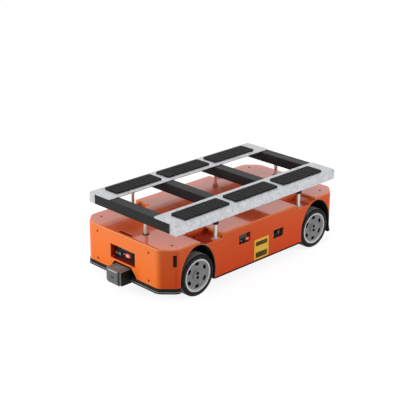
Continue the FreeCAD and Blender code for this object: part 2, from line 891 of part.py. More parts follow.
def front_button():
    """Red push button of the front panel."""
    width, height = front_button_size
    x = (window_plane - button_stem, window_plane + button_proud)
    return rounded(block(x, about(front_button_y, width), about(front_button_z, height)), "x", button_edge)


def front_display():
    """Display strip on the front panel."""
    x = (window_plane, window_plane + display_thickness)
    return rounded(block(x, front_display_y, front_display_z), "x", display_edge)


def side_display():
    """Display on the left side panel."""
    y = (display_plane, display_plane + display_thickness)
    return rounded(block(side_display_x, y, side_display_z), "y", display_edge)


def panel_sockets():
    """Two round sockets on the front panel."""
    sockets = []
    for y in socket_y:
        z = window_bottom + socket_rise
        base = (window_plane, y, z)
        body = cylinder("x", base, socket_length, socket_radius)
        mouth = (window_plane + socket_length / 3, y, z)
        sockets.append(body.cut(cylinder("x", mouth, socket_length, socket_bore)))
    return sockets


def lamp(axis, base):
    """Small round lamp with a domed edge."""
    solid = cylinder(axis, base, lamp_height, lamp_radius)
    middle = Vector(*base) + AXES[axis] * lamp_height
    rim = [e for e in solid.Edges if e.BoundBox.Center.sub(middle).Length < pick_gap]
    return solid.makeFillet(lamp_height / 2, rim)


def indicator_lamps():
    """The lamp of each control panel."""
    return [lamp("x", (window_plane, front_lamp_y, window_bottom + front_lamp_rise)),
            lamp("y", (side_lamp_x, display_plane, rim_bottom + side_lamp_rise)),
            lamp("y", (switch_lamp_x, switch_plane, rim_bottom + switch_lamp_rise))]


def recess_plate(x, z, plane):
    """Plate that closes a side recess from inside."""
    x = (x[0] - recess_wall, x[1] + recess_wall)
    z = (z[0] - recess_wall, z[1] + recess_wall)
    return block(x, (plane - panel_plate, plane), z)


def display_panel():
    """Plate of the display recess, with the button's hole."""
    width, height = side_button_size
    hole = block(about(side_button_x, width + 2 * button_gap), (display_plane - panel_plate, display_plane),
                 about(side_button_z, height + 2 * button_gap))
    return recess_plate(display_recess_x, display_recess_z, display_plane).cut(hole)


def side_button():
    """Red push button of the left side panel."""
    width, height = side_button_size
    y = (display_plane - button_stem, display_plane + button_proud)
    return rounded(block(about(side_button_x, width), y, about(side_button_z, height)), "y", button_edge)


def switch_panel():
    """Plate of the switch recess, with the hole of the knob's shaft."""
    base = (knob_x, switch_plane - panel_plate, knob_z)
    plate = recess_plate(switch_recess_x, switch_recess_z, switch_plane)
    return plate.cut(cylinder("y", base, panel_plate, knob_shaft_radius + running_gap))


def switch_knob():
    """Round switch knob with a raised grip, on its shaft."""
    seat = switch_plane + seat_gap
    disc = cylinder("y", (knob_x, seat, knob_z), knob_height, knob_radius)
    length, width, height = knob_grip
    top = seat + knob_height - height / 2
    grip = block(about(knob_x, width), (top, top + height), about(knob_z, length))
    shaft = cylinder("y", (knob_x, seat - knob_shaft, knob_z), knob_shaft, knob_shaft_radius)
    return disc.fuse([rounded(grip, "y", button_edge), shaft]).removeSplitter()


def side_plate():
    """Square plate on the left side, with two sunk fields."""
    y = (half_width, half_width + side_plate_thickness)
    plate = rounded(block(side_plate_x, y, side_plate_z), "y", side_plate_radius)
    field_x = (side_plate_x[0] + side_plate_margin, side_plate_x[1] - side_plate_margin)
    field_y = (y[1] - side_plate_field, y[1])
    fields = [block(field_x, field_y, (pan_top + rise[0], pan_top + rise[1]))
              for rise in (side_plate_upper, side_plate_lower)]
    return plate.cut(fields)


def corner_lens():
    """Lens behind the left front slot, following the corner."""
    inset = skin + seat_gap
    ring = plan_ring(inset, inset + lens_thickness, (lens_bottom - lens_lap, lens_top + lens_lap))
    return ring.common(lens_prism(lens_lap, lens_lap))


def screw(axis, seat, way):
    """Cover screw with its head on a seat, pointing out along an axis."""
    base = Vector(*seat)
    out = AXES[axis] * way
    head = Part.makeCylinder(screw_head_radius, screw_head, base, out)
    shank = Part.makeCylinder(screw_radius - button_gap, screw_reach, base - out * screw_reach, out)
    return head.fuse(shank).removeSplitter()


def cover_screws():
    """Screws of the end covers, the deck and its pockets."""
    front = [screw("x", (body_front, y, z), 1) for y, z in cover_screw_places()]
    rear = [screw("x", (body_rear, y, z), -1) for y, z in cover_screw_places()]
    deck = [screw("z", (x, y, deck_height), 1) for x, y in deck_screw_places()]
    pocket = screw("z", (*pocket_screw_place(), pocket_floor), 1)
    return front + rear + deck + at_all_corners(pocket)


def scanner_housing():
    """Scanner body with rounded front edges."""
    x = (body_front + scanner_rear_gap, scanner_front - scanner_window_proud)
    z = (scanner_bottom, scanner_top)
    solid = block(x, (-scanner_half_width, scanner_half_width), z)
    edges = [e for e in solid.Edges if e.BoundBox.XMin > x[1] - pick_gap]
    return solid.makeFillet(scanner_edge / 2, edges)


def scanner_window():
    """Window plate on the scanner's front."""
    x = (scanner_front - scanner_window_proud, scanner_front)
    z = (scanner_bottom + scanner_window_border, scanner_top - scanner_window_border)
    plate = block(x, (-scanner_window_half, scanner_window_half), z)
    plate = rounded(plate, "x", scanner_window_radius)
    front = [e for e in plate.Edges if e.BoundBox.XMin > x[1] - pick_gap]
    return plate.makeChamfer(scanner_window_proud / 2, front)


def scanner_bracket():
    """Cradle round the scanner: two cheeks, a back and a foot on the pan."""
    rear = body_front + scanner_rear_gap
    inner = scanner_half_width + cheek_groove
    outer = cheek_outer
    front = scanner_front - scanner_window_proud - cheek_setback
    z = (scanner_bottom + cheek_inset, scanner_top - cheek_inset)
    cheek = rounded(block((rear - bracket_back, front), (inner, outer), z), "y", scanner_edge)
    back = block((rear - bracket_back, rear), (-outer, outer), (z[0] + scanner_edge, z[1] - scanner_edge))
    foot_z = (pan_top, pan_top + bracket_foot_plate)
    foot = block((body_front - bracket_foot, rear), (-bracket_foot_half, bracket_foot_half), foot_z)
    return cheek.fuse([mirrored(cheek, "y"), back, foot]).removeSplitter()


def group(solids):
    """Several separate solids in one node."""
    return Part.makeCompound(solids)


def both(solid, axis):
    """A piece and its copy across one middle plane, as one node."""
    return group([solid, mirrored(solid, axis)])


nodes = {
    "floor_pan": floor_pan(),
    "chassis_plate_left": chassis_plate(),
    "chassis_plate_right": mirrored(chassis_plate(), "y"),
    "bulkheads": both(bulkhead(), "x"),
    "front_cover": front_cover(),
    "rear_cover": rear_cover(),
    "side_panel_left": side_panel_left(),
    "side_panel_right": mirrored(plain_side(), "y"),
    "deck_cover": deck_cover(),
    "front_bumper": bumper((bumper_end, body_front + bumper_lip_proud), cheek_outer + bumper_bracket_gap),
    "rear_bumper": bumper((footprint_rear, -bumper_end), 0),
    "axle_bearings": group(at_all_corners(axle_bearing())),
    "battery_pack": battery_pack(),
    "control_unit": control_unit(),
    "guide_bushes": group(at_all_corners(guide_bush())),
    "bush_bolts": group([bolt for x in bolt_places() for bolt in at_all_corners(bush_bolt(x))]),
    "lift_cylinders": group([lift_cylinder(), turned(lift_cylinder())]),
    "rod_seals": group([rod_seal(), turned(rod_seal())]),
    "guide_posts": group(at_all_corners(guide_post())),
    "post_collars": group(at_all_corners(post_collar())),
    "lift_rods": group([lift_rod(), turned(lift_rod())]),
    "lift_rails": both(lift_rail(), "y"),
    "cross_beams": group(cross_beams()),
    "load_plates": both(load_sheet(), "y"),
    "load_pads": group([piece for pad in load_pads() for piece in (pad, mirrored(pad, "y"))]),
    "front_panel": front_panel(),
    "front_button": front_button(),
    "panel_displays": group([front_display(), side_display()]),
    "panel_sockets": group(panel_sockets()),
    "indicator_lamps": group(indicator_lamps()),
    "display_panel": display_panel(),
    "side_button": side_button(),
    "switch_panel": switch_panel(),
    "switch_knob": switch_knob(),
    "side_plate": side_plate(),
    "corner_lenses": both(corner_lens(), "y"),
    "cover_screws": group(cover_screws()),
    "scanner_housing": scanner_housing(),
    "scanner_window": scanner_window(),
    "scanner_bracket": scanner_bracket(),
}

for corner in CORNERS:
    nodes["tyre_" + corner] = on_wheel(tyre(), corner)
    nodes["wheel_hub_" + corner] = on_wheel(wheel_hub(), corner)
    nodes["axle_" + corner] = on_wheel(axle(), corner)
    nodes["wheel_liner_" + corner] = at_corner(wheel_liner(), corner)
    nodes["drive_motor_" + corner] = at_corner(drive_motor(), corner)

os.makedirs("parts", exist_ok=True)
for name, shape in nodes.items():
    placed = shape.copy()
    placed.translate(Vector(footprint_shift, 0, 0))
    placed.exportStep(f"parts/{name}.step")
    print(name, len(placed.Solids), placed.isValid(), round(placed.Volume))
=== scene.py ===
import bmesh
import bpy
import json
import math
from mathutils import Matrix, Vector


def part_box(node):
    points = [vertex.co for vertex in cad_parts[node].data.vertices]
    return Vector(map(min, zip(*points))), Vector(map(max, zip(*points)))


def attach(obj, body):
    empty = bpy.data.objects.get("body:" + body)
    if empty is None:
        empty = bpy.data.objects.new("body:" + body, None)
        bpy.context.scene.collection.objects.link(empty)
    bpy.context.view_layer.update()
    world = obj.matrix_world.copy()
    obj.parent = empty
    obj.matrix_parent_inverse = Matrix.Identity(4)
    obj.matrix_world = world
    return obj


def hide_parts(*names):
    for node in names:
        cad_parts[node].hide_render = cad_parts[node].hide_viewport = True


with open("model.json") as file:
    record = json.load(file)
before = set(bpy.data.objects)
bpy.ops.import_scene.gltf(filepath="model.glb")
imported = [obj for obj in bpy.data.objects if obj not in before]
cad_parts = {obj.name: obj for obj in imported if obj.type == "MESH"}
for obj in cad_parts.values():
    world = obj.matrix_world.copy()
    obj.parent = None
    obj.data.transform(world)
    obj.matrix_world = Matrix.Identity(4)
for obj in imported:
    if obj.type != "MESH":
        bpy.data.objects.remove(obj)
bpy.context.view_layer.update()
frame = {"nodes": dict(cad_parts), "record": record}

# Axes by number, and directions
X, Y, Z = range(3)
FORWARD = Vector((1, 0, 0))
LEFT = Vector((0, 1, 0))
UP = Vector((0, 0, 1))

# Part of a length that lies along each axis, at 45 degrees
DIAGONAL = math.sqrt(0.5)

# Planes of the body, read from the frame
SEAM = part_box("front_cover")[1].z
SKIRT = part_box("front_cover")[0].z
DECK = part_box("deck_cover")[1].z
BODY_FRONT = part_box("front_cover")[1].x
BODY_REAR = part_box("rear_cover")[0].x
BODY_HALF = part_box("deck_cover")[1].y
MIDDLE = (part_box("tyre_fl")[0].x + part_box("tyre_rl")[1].x) / 2

# Cut of the body's upright corners, along each side
CORNER_CUT = 0.0635

# Camera, fitted to the photograph
CAMERA_PLACE = (3.50446, 3.50098, 2.17515)
CAMERA_TURN = (1.2073, -0.00365, 2.36689)
CAMERA_LENS = 97.19
CAMERA_SENSOR = 36.0

# Light and floor
AMBIENT = 0.45
BACKDROP = 1.0
FLOOR_TONE = (0.32, 0.32, 0.325, 1)
FLOOR_GLOW = 0.85
FLOOR_HALF = 30.0
FLOOR_SIDES = 64
WHITE = (1, 1, 1, 1)
LAMPS = {
    "key_light": {"place": (4.6, -3.2, 1.5), "power": 232, "size": 2.8},
    "top_light": {"place": (-0.6, 0.4, 4.0), "power": 8, "size": 3.0},
    "side_light": {"place": (-3.0, 4.6, 1.6), "power": 88, "size": 2.6},
}
LAMP_AIM = Vector((0.0, 0.0, 0.18))

# Colours, linear
# Orange paint runs from the top colour down to a painted shade at the bottom
ORANGE_HIGH = (0.98, 0.148, 0.034, 1)
ORANGE_SHADED_LOW = (0.93, 0.066, 0.001, 1)
# Paler, yellower paint of the front and rear ends, a painted light
LIT_END_HIGH = (0.97, 0.225, 0.052, 1)
LIT_END_LOW = (0.98, 0.185, 0.016, 1)
ORANGE_RECESS_SHADE = (0.62, 0.030, 0.006, 1)
ORANGE_DEEP = (0.88, 0.100, 0.008, 1)
ORANGE_HIGHLIGHT = (1.0, 0.44, 0.18, 1)
ORANGE_GRIME = (0.42, 0.055, 0.010, 1)
ORANGE_SHADE = (0.14, 0.008, 0.002, 1)
SEAM_DARK = (0.10, 0.02, 0.008, 1)
BLACK_PAINT = (0.010, 0.010, 0.011, 1)
BLACK_PAINT_PALE = (0.022, 0.022, 0.024, 1)
BLACK_PAINT_EDGE = (0.040, 0.040, 0.042, 1)
STEEL = (0.36, 0.37, 0.385, 1)
STEEL_DARK = (0.25, 0.255, 0.27, 1)
ZINC = (0.70, 0.71, 0.73, 1)
ZINC_DARK = (0.50, 0.51, 0.53, 1)
CHROME = (0.78, 0.76, 0.75, 1)
CHROME_DULL = (0.64, 0.62, 0.61, 1)
RUBBER = (0.006, 0.006, 0.006, 1)
RUBBER_PALE = (0.018, 0.018, 0.018, 1)
RUBBER_DUST_AND_SHEEN = (0.30, 0.295, 0.28, 1)
TYRE_SIDE = (0.013, 0.013, 0.0138, 1)
TYRE_EDGE = (0.003, 0.003, 0.0032, 1)
TYRE_TREAD = (0.42, 0.422, 0.418, 1)
HUB = (0.195, 0.196, 0.204, 1)
HUB_RING = (0.74, 0.74, 0.75, 1)
HUB_HIGHLIGHT = (0.86, 0.86, 0.87, 1)
HUB_HOLLOW_SHADE = (0.030, 0.030, 0.033, 1)
HUB_SHADE = (0.138, 0.139, 0.146, 1)
PLASTIC = (0.006, 0.006, 0.0065, 1)
PLASTIC_PALE = (0.018, 0.018, 0.019, 1)
SHELL = (0.007, 0.006, 0.006, 1)
SHELL_PALE = (0.014, 0.012, 0.012, 1)
SHELL_LIT_TOP = (0.25, 0.195, 0.175, 1)
SHELL_LIT_FRONT = (0.115, 0.116, 0.116, 1)
SHELL_HIGHLIGHT = (0.60, 0.55, 0.52, 1)
FACE = (0.095, 0.098, 0.100, 1)
FACE_PALE = (0.132, 0.135, 0.137, 1)
FACE_HIGHLIGHT = (0.60, 0.57, 0.54, 1)
DISPLAY = (0.032, 0.032, 0.024, 1)
DISPLAY_ROW = (0.070, 0.070, 0.052, 1)
BUTTON_RED = (0.85, 0.035, 0.022, 1)
BUTTON_PALE = (0.92, 0.38, 0.31, 1)
SURROUND = (0.20, 0.010, 0.007, 1)
SURROUND_PALE = (0.34, 0.022, 0.014, 1)
LAMP_WHITE = (0.80, 0.78, 0.75, 1)
LAMP_WARM = (0.68, 0.65, 0.60, 1)
LENS = (0.030, 0.004, 0.002, 1)
LENS_PALE = (0.055, 0.008, 0.004, 1)
YELLOW = (0.90, 0.54, 0.042, 1)
YELLOW_DEEP = (0.82, 0.48, 0.030, 1)
YELLOW_EDGE = (1.0, 0.70, 0.24, 1)
BAR = (0.080, 0.043, 0.003, 1)
BAR_PALE = (0.130, 0.075, 0.010, 1)
SCREW = (0.055, 0.012, 0.007, 1)
SCREW_PALE = (0.12, 0.030, 0.018, 1)
# Near-black that stands in for shade
SHADE_BLACK = (0.0015, 0.0015, 0.0016, 1)
SHADE_BLACK_PALE = (0.0035, 0.0035, 0.0036, 1)
BATTERY = (0.05, 0.06, 0.08, 1)
BATTERY_PALE = (0.08, 0.09, 0.11, 1)
ALUMINIUM = (0.66, 0.67, 0.68, 1)
ALUMINIUM_DULL = (0.50, 0.51, 0.52, 1)
SOCKET = (0.34, 0.34, 0.355, 1)
SOCKET_DULL = (0.22, 0.22, 0.23, 1)

# Ranges of values: most of a noise, a whole share, and a sine
NOISE = (0.3, 0.7)
WHOLE = (0.0, 1.0)
SINE = (-1.0, 1.0)

# Heights between which a look fades
GRIME_LEVEL = (SKIRT, SKIRT + 0.04)
RECESS_SHADE_LEVEL = (SEAM - 0.012, SEAM - 0.008)
SILL_SHADE_LEVEL = (SEAM - 0.040, SEAM - 0.030)
COAT_LEVEL = (SEAM - 0.030, SEAM - 0.020)
SHELL_LIT_LEVEL = (0.09, 0.10)

# The hub's rim and the tyre's sidewall, as parts of the piece's own radius
HUB_RIM = (0.84, 0.86)
SIDEWALL = (0.79, 0.92)

# How far the sidewall swells, how strongly its rings show, and how strongly the painted highlight shows
# on the hub's edges
SWELL_DEPTH = 0.003
SIDEWALL_RINGS = 0.35
HUB_HIGHLIGHT_SHARE = 0.7

# Generated coordinates run from 0 to 1 across a piece's own box
BOX_MIDDLE = (0.5, 0.5, 0.5)
WHEEL_PLANE = (2, 0, 2)

# Rays that look for edges and for hollows
BEVEL_SAMPLES = 6
HOLLOW_SAMPLES = 8


class Surface:
    """One procedural material, with short calls for the nodes it needs."""

    def __init__(self, name):
        self.material = bpy.data.materials.new(name)
        self.material.use_nodes = True
        self.tree = self.material.node_tree
        self.shader = self.tree.nodes["Principled BSDF"]
        self.coords = self.add("TexCoord")
        self.place = self.coords.outputs["Object"]

    def add(self, kind, inputs=None, **settings):
        """New node with its inputs set or linked."""
        node = self.tree.nodes.new("ShaderNode" + kind)
        for key, value in settings.items():
            setattr(node, key, value)
        for key, value in (inputs or {}).items():
            self.put(node.inputs[key], value)
        return node

    def put(self, socket, value):
        """Link a socket to another, or set its own value."""
        if isinstance(value, bpy.types.NodeSocket):
            self.tree.links.new(value, socket)
        else:
            socket.default_value = value

    def math(self, operation, first, second=0.0):
        """Number worked out from one or two others."""
        return self.add("Math", {0: first, 1: second}, operation=operation).outputs[0]

    def plus(self, first, second):
        """Sum of two numbers."""
        return self.math("ADD", first, second)

    def minus(self, first, second):
        """Difference of two numbers."""
        return self.math("SUBTRACT", first, second)

    def times(self, first, second):
        """Product of two numbers."""
        return self.math("MULTIPLY", first, second)

    def ripple(self, value, rate):
        """Sine of a value multiplied by a rate."""
        return self.math("SINE", self.times(value, rate))

    def vector(self, operation, first, second=(0, 0, 0)):
        """Node that works on one or two vectors."""
        return self.add("VectorMath", {0: first, 1: second}, operation=operation)

    def noise(self, waves, detail=2.0, stretch=None):
        """Noise with a number of waves in each metre."""
        place = self.place
        if stretch:
            place = self.vector("MULTIPLY", place, stretch).outputs[0]
        made = self.add("TexNoise", {"Vector": place, "Scale": waves, "Detail": detail})
        return made.outputs["Fac"]

    def cells(self, count):
        """Random value in each cell of a crystal pattern, with a count of cells in each metre."""
        made = self.add("TexVoronoi", {"Vector": self.place, "Scale": count})
        return self.add("SeparateColor", {0: made.outputs["Color"]}).outputs[0]

    def span(self, value, low, high, window=NOISE):
        """Value mapped from a window to the range from low to high."""
        start, end = window
        inputs = {"Value": value, "From Min": start, "From Max": end, "To Min": low, "To Max": high}
        return self.add("MapRange", inputs).outputs["Result"]

    def rising(self, value, window=NOISE, share=1.0):
        """Mask that grows from nothing to a share while a value crosses a window."""
        return self.span(value, 0.0, share, window)

    def falling(self, value, window=NOISE, share=1.0):
        """Mask that drops from a share to nothing while a value crosses a window."""
        return self.span(value, share, 0.0, window)

    def uneven(self, pattern, rough, fine, swing, window=NOISE):
        """Roughness that follows a pattern, with a small swing from a finer one."""
        return self.plus(self.span(pattern, *rough, window), self.span(fine, -swing, swing))

    def mix(self, factor, first, second):
        """Two colours mixed by a factor."""
        return self.add("Mix", {0: factor, 6: first, 7: second}, data_type="RGBA").outputs[2]

    def axis(self, vector, index):
        """One part of a vector."""
        return self.add("SeparateXYZ", {0: vector}).outputs[index]

    def height(self):
        """Height above the floor."""
        return self.axis(self.place, Z)

    def outward(self, index):
        """One part of the direction that a face looks in."""
        return self.axis(self.coords.outputs["Normal"], index)

    def radius(self):
        """Distance from a wheel's axis, as a part of its own radius."""
        shifted = self.vector("SUBTRACT", self.coords.outputs["Generated"], BOX_MIDDLE)
        flat = self.vector("MULTIPLY", shifted.outputs[0], WHEEL_PLANE)
        return self.vector("LENGTH", flat.outputs[0]).outputs["Value"]

    def from_middle(self):
        """Distance from the middle of the piece, as a part of its own box."""
        return self.vector("DISTANCE", self.coords.outputs["Generated"], BOX_MIDDLE).outputs["Value"]

    def soft_normal(self, radius):
        """Normal that rounds the edges of the solid."""
        return self.add("Bevel", {"Radius": radius}, samples=BEVEL_SAMPLES).outputs["Normal"]

    def edge(self, normal, gain=4.0):
        """Mask of the rounded edges."""
        flat = self.add("NewGeometry").outputs["True Normal"]
        away = self.minus(1.0, self.vector("DOT_PRODUCT", normal, flat).outputs["Value"])
        return self.add("Math", {0: away, 1: gain}, operation="MULTIPLY", use_clamp=True).outputs[0]

    def hollow(self, reach):
        """Mask of the inner corners and recesses of the solid itself."""
        made = self.add("AmbientOcclusion", {"Distance": reach}, samples=HOLLOW_SAMPLES, only_local=True)
        return self.minus(1.0, made.outputs["AO"])

    def bump(self, height, depth, normal=None):
        """Normal with a relief of a depth in metres."""
        inputs = {"Height": height, "Distance": depth, "Strength": 1.0}
        if normal is not None:
            inputs["Normal"] = normal
        return self.add("Bump", inputs).outputs["Normal"]

    def shade(self, **sockets):
        """Set the shader's own sockets and give the material."""
        for key, value in sockets.items():
            self.put(self.shader.inputs[key.replace("_", " ")], value)
        return self.material


def grained(name, tones, rough, grain, depth, edge_tone=None, edge_share=0.5, round_edge=0.001,
            patch=9.0, stretch=None, edge_gain=4.0, **sockets):
    """Material of two tones in soft patches, with a fine grain and, given a tone, paler edges: wear on
    most materials, a painted highlight on the scanner face.
    """
    look = Surface(name)
    soft = look.soft_normal(round_edge)
    fine = look.noise(grain, detail=3.0, stretch=stretch)
    patches = look.noise(patch, detail=4.0)
    colour = look.mix(look.rising(patches), *tones)
    colour = look.mix(look.rising(fine, share=0.22), colour, tones[1])
    if edge_tone:
        edge_highlight_and_wear = look.rising(look.noise(waves=70.0, detail=3.0), share=edge_share)
        colour = look.mix(look.times(look.edge(soft, edge_gain), edge_highlight_and_wear), colour, edge_tone)
    return look.shade(Base_Color=colour, Roughness=look.uneven(patches, rough, fine, swing=0.03),
                      Normal=look.bump(fine, depth, soft), **sockets)


def depth_inside(look):
    """Distance behind the body's upright outer faces, its cut corners too."""
    across = look.minus(BODY_HALF, look.math("ABSOLUTE", look.axis(look.place, Y)))
    along = look.axis(look.place, X)
    nearest = across
    for end in (look.minus(BODY_FRONT, along), look.minus(along, BODY_REAR)):
        corner = look.times(look.minus(look.plus(end, across), CORNER_CUT), DIAGONAL)
        nearest = look.math("MINIMUM", nearest, look.math("MINIMUM", end, corner))
    return nearest


def orange_paint():
    """Glossy coat with a fine orange peel and some grime low down, painted shade towards the bottom, in
    corners and in recesses, painted light on the front and rear ends, and painted highlights on the edges
    and folds.
    """
    look = Surface("orange_paint")
    soft = look.soft_normal(radius=0.0036)
    tilt = look.axis(soft, Z)
    height = look.height()
    # Painted shade: the paint turns darker and deeper orange towards the bottom
    rise = look.rising(height, (SKIRT, DECK))
    colour = look.mix(rise, ORANGE_SHADED_LOW, ORANGE_HIGH)
    colour = look.mix(look.rising(look.noise(waves=2.6, detail=3.0), share=0.5), colour, ORANGE_DEEP)
    # Painted light: faces turned to the front and rear are paler and yellower than the sides
    ends = look.rising(look.math("ABSOLUTE", look.axis(soft, X)), window=(0.60, 0.98))
    colour = look.mix(ends, colour, look.mix(rise, LIT_END_LOW, LIT_END_HIGH))
    grime = look.times(look.falling(height, GRIME_LEVEL, share=0.22),
                       look.rising(look.noise(waves=38.0, detail=5.0), window=(0.42, 0.75)))
    colour = look.mix(grime, colour, ORANGE_GRIME)
    # Painted shade in the inner corners and hollows of each piece
    corners = look.rising(look.hollow(reach=0.030), window=(0.20, 0.58), share=0.92)
    colour = look.mix(corners, colour, ORANGE_SHADE)
    # Painted shade: a deep dark red on the walls that lie behind the body's outer faces, below the seam
    recess_shade = look.times(look.rising(depth_inside(look), window=(0.0045, 0.0065), share=0.88),
                        look.falling(height, RECESS_SHADE_LEVEL))
    colour = look.mix(recess_shade, colour, ORANGE_RECESS_SHADE)
    # Painted shade, darker still, on the upward faces of the recesses low down
    sill_shade = look.times(recess_shade, look.rising(tilt, window=(0.5, 0.9), share=0.8))
    colour = look.mix(look.times(sill_shade, look.falling(height, SILL_SHADE_LEVEL)), colour, ORANGE_SHADE)
    # Painted highlight: a paler, yellower line on the rounded edges and folds, in patches
    fold_highlight = look.times(look.rising(tilt, window=(0.3, 0.6)), look.falling(tilt, window=(0.8, 0.97)))
    edge_highlight_and_wear = look.math("MAXIMUM", look.edge(soft), fold_highlight)
    bright = look.times(edge_highlight_and_wear, look.span(look.noise(waves=24.0, detail=3.0), low=0.76, high=1.0))
    colour = look.mix(bright, colour, ORANGE_HIGHLIGHT)
    from_seam = look.math("ABSOLUTE", look.minus(height, SEAM))
    colour = look.mix(look.falling(from_seam, window=(0.0003, 0.0010), share=0.25), colour, SEAM_DARK)
    streaks = look.noise(waves=150.0, detail=4.0, stretch=(1.0, 1.0, 0.12))
    roughness = look.plus(look.span(look.noise(waves=5.0, detail=3.0), low=0.17, high=0.22),
                          look.rising(streaks, window=(0.55, 0.8), share=0.04))
    relief = look.bump(look.noise(waves=330.0), depth=0.00002, normal=soft)
    coat = look.times(look.rising(tilt, window=(0.85, 0.98)), look.rising(height, COAT_LEVEL))
    return look.shade(Base_Color=colour, Roughness=roughness, Normal=relief, Specular_IOR_Level=0.13,
                      Coat_Weight=coat, Coat_Roughness=0.07, Coat_Normal=relief)


def zinc_steel():
    """Galvanised sheet with a crystal pattern."""
    look = Surface("zinc_steel")
    soft = look.soft_normal(radius=0.0015)
    cells = look.cells(count=85.0)
    fine = look.noise(waves=600.0, detail=3.0)
    colour = look.mix(cells, ZINC_DARK, ZINC)
    colour = look.mix(look.rising(fine, share=0.25), colour, ZINC_DARK)
    roughness = look.uneven(cells, (0.30, 0.46), fine, swing=0.04, window=WHOLE)
    return look.shade(Base_Color=colour, Roughness=roughness, Metallic=0.9,
                      Normal=look.bump(fine, depth=0.00004, normal=soft))


def chrome():
    """Ground and plated rod with faint lengthwise lines."""
    look = Surface("chrome")
    lines = look.noise(waves=900.0, stretch=(1.0, 1.0, 0.02))
    smear = look.noise(waves=40.0, detail=4.0)
    colour = look.mix(look.rising(smear), CHROME_DULL, CHROME)
    roughness = look.plus(look.span(smear, low=0.26, high=0.36), look.span(lines, low=-0.03, high=0.05))
    return look.shade(Base_Color=colour, Roughness=roughness, Metallic=0.7,
                      Normal=look.bump(lines, depth=0.000008))


def rubber():
    """Black rubber, paler in patches on its slopes: dusty, and a painted sheen."""
    look = Surface("rubber")
    soft = look.soft_normal(radius=0.002)
    fine = look.noise(waves=1300.0, detail=3.0)
    patches = look.noise(waves=24.0, detail=4.0)
    tilt = look.outward(Z)
    slope = look.times(look.rising(tilt, window=(0.25, 0.55)), look.falling(tilt, window=(0.85, 0.97)))
    colour = look.mix(look.rising(patches), RUBBER, RUBBER_PALE)
    # Dusty and a painted sheen: the slopes are paler in patches, as if lit from above
    colour = look.mix(look.times(slope, look.span(patches, low=0.55, high=1.0)), colour, RUBBER_DUST_AND_SHEEN)
    return look.shade(Base_Color=colour, Roughness=look.uneven(patches, (0.62, 0.80), fine, swing=0.04),
                      Normal=look.bump(fine, depth=0.00008, normal=soft), Specular_IOR_Level=0.18)


def tyre_rubber():
    """Tyre with a pale, dusty tread that is partly a painted light, and a dark swollen sidewall with fine
    moulded rings.
    """
    look = Surface("tyre")
    across = look.math("ABSOLUTE", look.outward(Y))
    tread = look.falling(across, window=(0.10, 0.55))
    shoulder = look.falling(across, window=(0.75, 0.99))
    fine = look.noise(waves=900.0, detail=3.0)
    colour = look.mix(shoulder, TYRE_SIDE, TYRE_EDGE)
    # The tread's pale patches are dusty and also a painted light, as if lit under the arch
    tread_dust_and_light = look.times(tread, look.span(look.noise(waves=45.0, detail=4.0), low=0.55, high=1.0))
    colour = look.mix(tread_dust_and_light, colour, TYRE_TREAD)
    radius = look.radius()
    swell = look.math("SINE", look.span(radius, low=0.0, high=math.pi, window=SIDEWALL))
    rings = look.plus(look.times(look.ripple(radius, rate=260.0), SIDEWALL_RINGS), fine)
    return look.shade(Base_Color=colour, Specular_IOR_Level=0.10,
                      Roughness=look.uneven(tread, (0.50, 0.74), fine, swing=0.06, window=WHOLE),
                      Normal=look.bump(rings, depth=0.00012, normal=look.bump(swell, SWELL_DEPTH)))


def hub_grey():
    """Silver-grey wheel with turned rings and a paler rim, painted shade in its hollows and a painted
    highlight on its edges.
    """
    look = Surface("hub_grey")
    soft = look.soft_normal(radius=0.0020)
    radius = look.radius()
    rings = look.ripple(radius, rate=420.0)
    flakes = look.noise(waves=1400.0)
    colour = look.mix(look.rising(look.noise(waves=30.0, detail=4.0)), HUB_SHADE, HUB)
    colour = look.mix(look.rising(radius, HUB_RIM), colour, HUB_RING)
    # Painted shade in the hub's hollows and inner corners
    shaded = look.rising(look.hollow(reach=0.016), window=(0.12, 0.50), share=0.85)
    colour = look.mix(shaded, colour, HUB_HOLLOW_SHADE)
    # Painted highlight: pale edges on the hub and round its holes
    colour = look.mix(look.times(look.edge(soft), HUB_HIGHLIGHT_SHARE), colour, HUB_HIGHLIGHT)
    colour = look.mix(look.rising(flakes, share=0.2), colour, HUB_RING)
    roughness = look.plus(look.span(flakes, low=0.34, high=0.46),
                          look.span(rings, low=-0.04, high=0.04, window=SINE))
    return look.shade(Base_Color=colour, Roughness=roughness, Metallic=0.3,
                      Normal=look.bump(rings, depth=0.00004, normal=soft))


